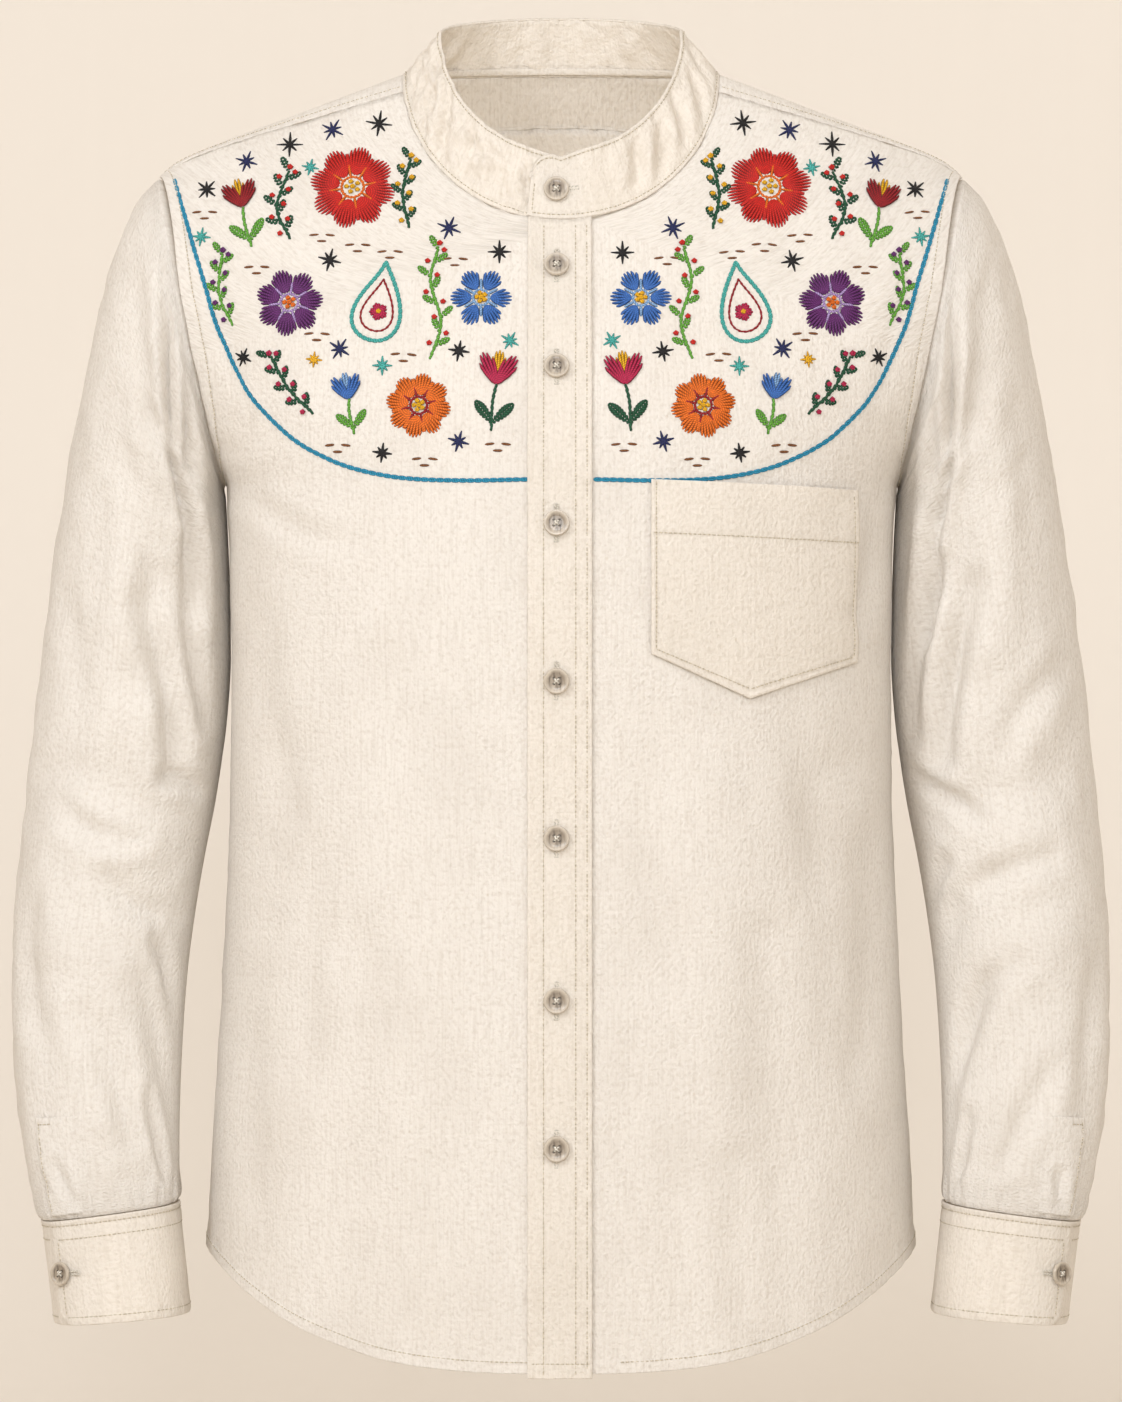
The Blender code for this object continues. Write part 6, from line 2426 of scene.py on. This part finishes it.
    def seeds(self, x: float, z: float, shade: Shade) -> None:
        """Three short loose stitches side by side."""
        shares = np.linspace(0.0, 1.0, 5)[:, None]
        for number, (shift, drop) in enumerate(((-4.0, 0.0), (0.6, -3.2), (5.0, 0.8))):
            start = np.array((x + shift - 2.6, z + drop))
            self.stitch(start + np.array((5.2, 0.7 - 0.6 * number)) * shares, shade, 1.5, 0.65)

    def border(self) -> None:
        """The chain-stitch line that closes the design on one front."""
        line = [(217, -55), (207.5, -85), (198.5, -115), (189.5, -144), (174, -176),
                (150, -202), (128, -215), (110, -221.5), (86, -226), (54, -227.5),
                (18.6, -227)]
        self.chain(line, Shade.TURQUOISE, 5.2, 2.3)

    def design(self) -> None:
        """Lay out the motifs of one front, x counted from the middle."""
        self.border()
        self.blossom(116, -62, 48, 12, 8, Shade.RED, Shade.ORANGE, Shade.GOLD)
        self.blossom(44, -126, 34, 0, 6, Shade.BLUE, Shade.SKY, Shade.GOLD)
        self.blossom(150, -128, 38, 20, 7, Shade.PLUM, Shade.LILAC, Shade.ORANGE)
        self.blossom(78, -186, 36, 10, 8, Shade.ORANGE, Shade.CRIMSON, Shade.GOLD)
        self.paisley(98, -128, 44, 24, Shade.TEAL, Shade.CRIMSON, Shade.ROSE)
        self.tulip(176, -78, 40, -14, Shade.CRIMSON, Shade.GOLD, Shade.LEAF)
        self.tulip(36, -180, 44, 6, Shade.ROSE, Shade.GOLD, Shade.FOREST)
        self.tulip(116, -186, 34, -10, Shade.BLUE, Shade.SKY, Shade.LEAF)
        self.sprig([(150, -92), (158, -74), (152, -52)], Shade.FOREST, Shade.RED)
        self.sprig([(182, -140), (190, -122), (188, -100)], Shade.LEAF, Shade.PLUM, 8)
        self.sprig([(72, -160), (66, -140), (72, -116), (68, -98)], Shade.LEAF,
                   Shade.RED, 8.5)
        self.sprig([(84, -86), (88, -66), (84, -46)], Shade.FOREST, Shade.GOLD, 8)
        self.sprig([(136, -190), (150, -176), (160, -158)], Shade.FOREST, Shade.ROSE, 8)
        for x, z, size, turn, shade in (
                (102, -24, 15, 8, Shade.BLACK), (128, -28, 14, 30, Shade.NAVY),
                (152, -36, 15, 0, Shade.BLACK), (176, -46, 13, 18, Shade.NAVY),
                (198, -62, 13, 40, Shade.BLACK), (140, -50, 10, 12, Shade.TEAL),
                (62, -86, 14, 22, Shade.NAVY), (34, -100, 13, 0, Shade.BLACK),
                (128, -104, 13, 14, Shade.BLACK), (200, -90, 11, 8, Shade.TEAL),
                (122, -154, 13, 34, Shade.NAVY), (56, -156, 12, 10, Shade.BLACK),
                (98, -164, 11, 0, Shade.TEAL), (176, -158, 11, 26, Shade.BLACK),
                (56, -206, 12, 16, Shade.NAVY), (98, -212, 11, 8, Shade.BLACK),
                (28, -150, 11, 30, Shade.TEAL), (136, -160, 9, 5, Shade.GOLD)):
            self.star(x, z, size, turn, shade)
        for x, z in ((94, -100), (58, -104), (168, -108), (132, -90),
                     (34, -208), (74, -216), (122, -208),
                     (134, -146), (86, -158), (198, -76), (112, -96)):
            self.seeds(x, z, Shade.BROWN)

    def build(self) -> None:
        """Sew the design on one front."""
        self.design()
        work = ThreadWork("needlework_" + self.side.word)
        for (shade, width, height, over, _), parts in self.groups.items():
            places = np.concatenate(parts)
            line, up = body_cloth(places[..., 0] * self.side.value, places[..., 1], Face.FRONT,
                                  self.lift + over)
            work.lay(line, up, width, height, self.finishes.threads[shade])
        work.make()


@dataclass
class NeckInside:
    """The seam turned up inside the back of the collar, which shows through the neck."""

    tailor: Tailor
    flat: tuple[float, float] = (0.280, 0.0105)

    def build(self) -> None:
        """Lay the narrow turned band inside the neck seam."""
        angles = np.linspace(66.0, 294.0, 150)
        shares = np.linspace(0.0, 1.0, 7)
        base = collar_base(angles[None, :], mix(0.03, 0.15, shares[:, None]))
        _, normal = collar_cloth(angles[None, :], mix(0.03, 0.15, shares[:, None]))
        bow = 1.9 + 0.55 * np.sin(math.pi * shares[:, None]) ** 0.6
        points = base - normal * bow[..., None]
        grain = np.stack(np.broadcast_arrays(np.radians(angles)[None, :] * 80.0,
                                             shares[:, None] * 5.0), -1)
        grid = ClothGrid(points, grain.copy(), -normal)
        self.tailor.cut("neck_seam_inside", grid, 0.3, self.flat, "folded", ("collar_cloth",), True)


@dataclass
class Studio:
    """Pale seamless paper, soft light and a level camera at the photograph's distance."""

    finishes: Finishes
    floor: float = -0.86
    distance: float = 3.6
    eye_height: float = -0.348
    frame_height: float = 0.7921
    sensor: float = 36.0
    # Where the floor starts to curve up behind the shirt, and its radius
    bend: float = 0.5
    bend_radius: float = 0.9

    def build(self) -> None:
        """Make the paper, the lights and the camera."""
        self.lay_paper()
        self.light("key", (-1.9, -2.1, 1.3), 1.0, 37.0)
        self.light("fill", (2.0, -2.0, 1.0), 1.4, 12.5)
        self.light("top", (0.0, -1.9, 2.3), 1.4, 15.5)
        # This one stands over the camera and reaches into the neck
        self.light("front", (0.0, -3.3, 0.7), 1.0, 40.0)
        # This one shows the folds of the back to a camera behind the shirt
        self.light("back", (1.5, 1.05, 0.9), 0.8, 4.5, "#FFFFFF")
        # A weak one inside the body stands for the light that the cloth throws up to the neck
        self.light("neck", (0.0, -0.01, -0.24), 0.09, 0.19, "#FFF2DF", (0.0, 0.075, -0.02))
        world = bpy.data.worlds.new("soft_room")
        world.use_nodes = True
        back = world.node_tree.nodes["Background"]
        back.inputs["Color"].default_value = linear("#FFEBD2")
        back.inputs["Strength"].default_value = 0.52
        bpy.context.scene.world = world
        bpy.context.scene.view_settings.view_transform = "Standard"
        self.place_camera()

    def lay_paper(self) -> None:
        """A floor that curves up into a wall."""
        bend, radius = self.bend, self.bend_radius
        profile = [(-3.0, 0.0), (bend, 0.0)]
        profile += [(bend + radius * math.sin(turn), radius * (1.0 - math.cos(turn)))
                    for turn in np.linspace(0.0, math.pi / 2.0, 24)[1:]]
        profile.append((bend + radius, 4.0))
        points, faces = [], []
        for depth, up in profile:
            points += [(side, depth, self.floor + up) for side in (-5.0, 5.0)]
        for place in range(len(profile) - 1):
            low = place * 2
            faces.append((low, low + 1, low + 3, low + 2))
        mesh = bpy.data.meshes.new("paper")
        mesh.from_pydata(points, [], faces)
        mesh.shade_smooth()
        mesh.materials.append(self.finishes.paper)
        add_object("paper", mesh)

    def light(self, name: str, place: tuple[float, float, float], size: float, power: float,
              colour: str = "#F2F7FF", target: tuple[float, float, float] | None = None) -> None:
        """A soft square light.

        Args:
            name: Its name.
            place: Where it hangs.
            size: Its side in metres.
            power: Its power in watts.
            colour: Its colour.
            target: What it points at, the middle of the shirt unless given.
        """
        data = bpy.data.lights.new(name, "AREA")
        data.shape = "SQUARE"
        data.size = size
        data.energy = power
        data.color = linear(colour)[:3]
        lamp = add_object(name, data)
        lamp.location = place
        aim = Vector(target or (0.0, 0.0, self.eye_height)) - Vector(place)
        lamp.rotation_euler = aim.to_track_quat("-Z", "Y").to_euler()

    def place_camera(self) -> None:
        """A level camera straight in front."""
        data = bpy.data.cameras.new("camera")
        data.sensor_width = self.sensor
        data.lens = self.sensor * self.distance / self.frame_height
        data.clip_start = 0.1
        data.clip_end = 50.0
        camera = add_object("camera", data)
        camera.location = (0.0, -self.distance, self.eye_height)
        camera.rotation_euler = (math.radians(90.0), 0.0, 0.0)
        bpy.context.scene.camera = camera


def main() -> None:
    """Build and dress every piece of the shirt."""
    logging.basicConfig(level=logging.INFO, format="%(name)s: %(message)s")
    finishes = Finishes()
    tailor = Tailor(finishes)
    sewing = Sewing(finishes)
    Yoke(tailor, sewing).build()
    Fronts(tailor, sewing).build()
    Back(tailor, sewing).build()
    Collar(tailor, sewing).build()
    NeckInside(tailor).build()
    Placket(tailor, sewing).build()
    Pocket(tailor, sewing).build()
    for side in Side:
        Sleeve(tailor, sewing, side).build()
        Needlework(finishes, side).build()
    Buttons(finishes).build()
    sewing.finish()
    Studio(finishes).build()


if __name__ == "__main__":
    main()
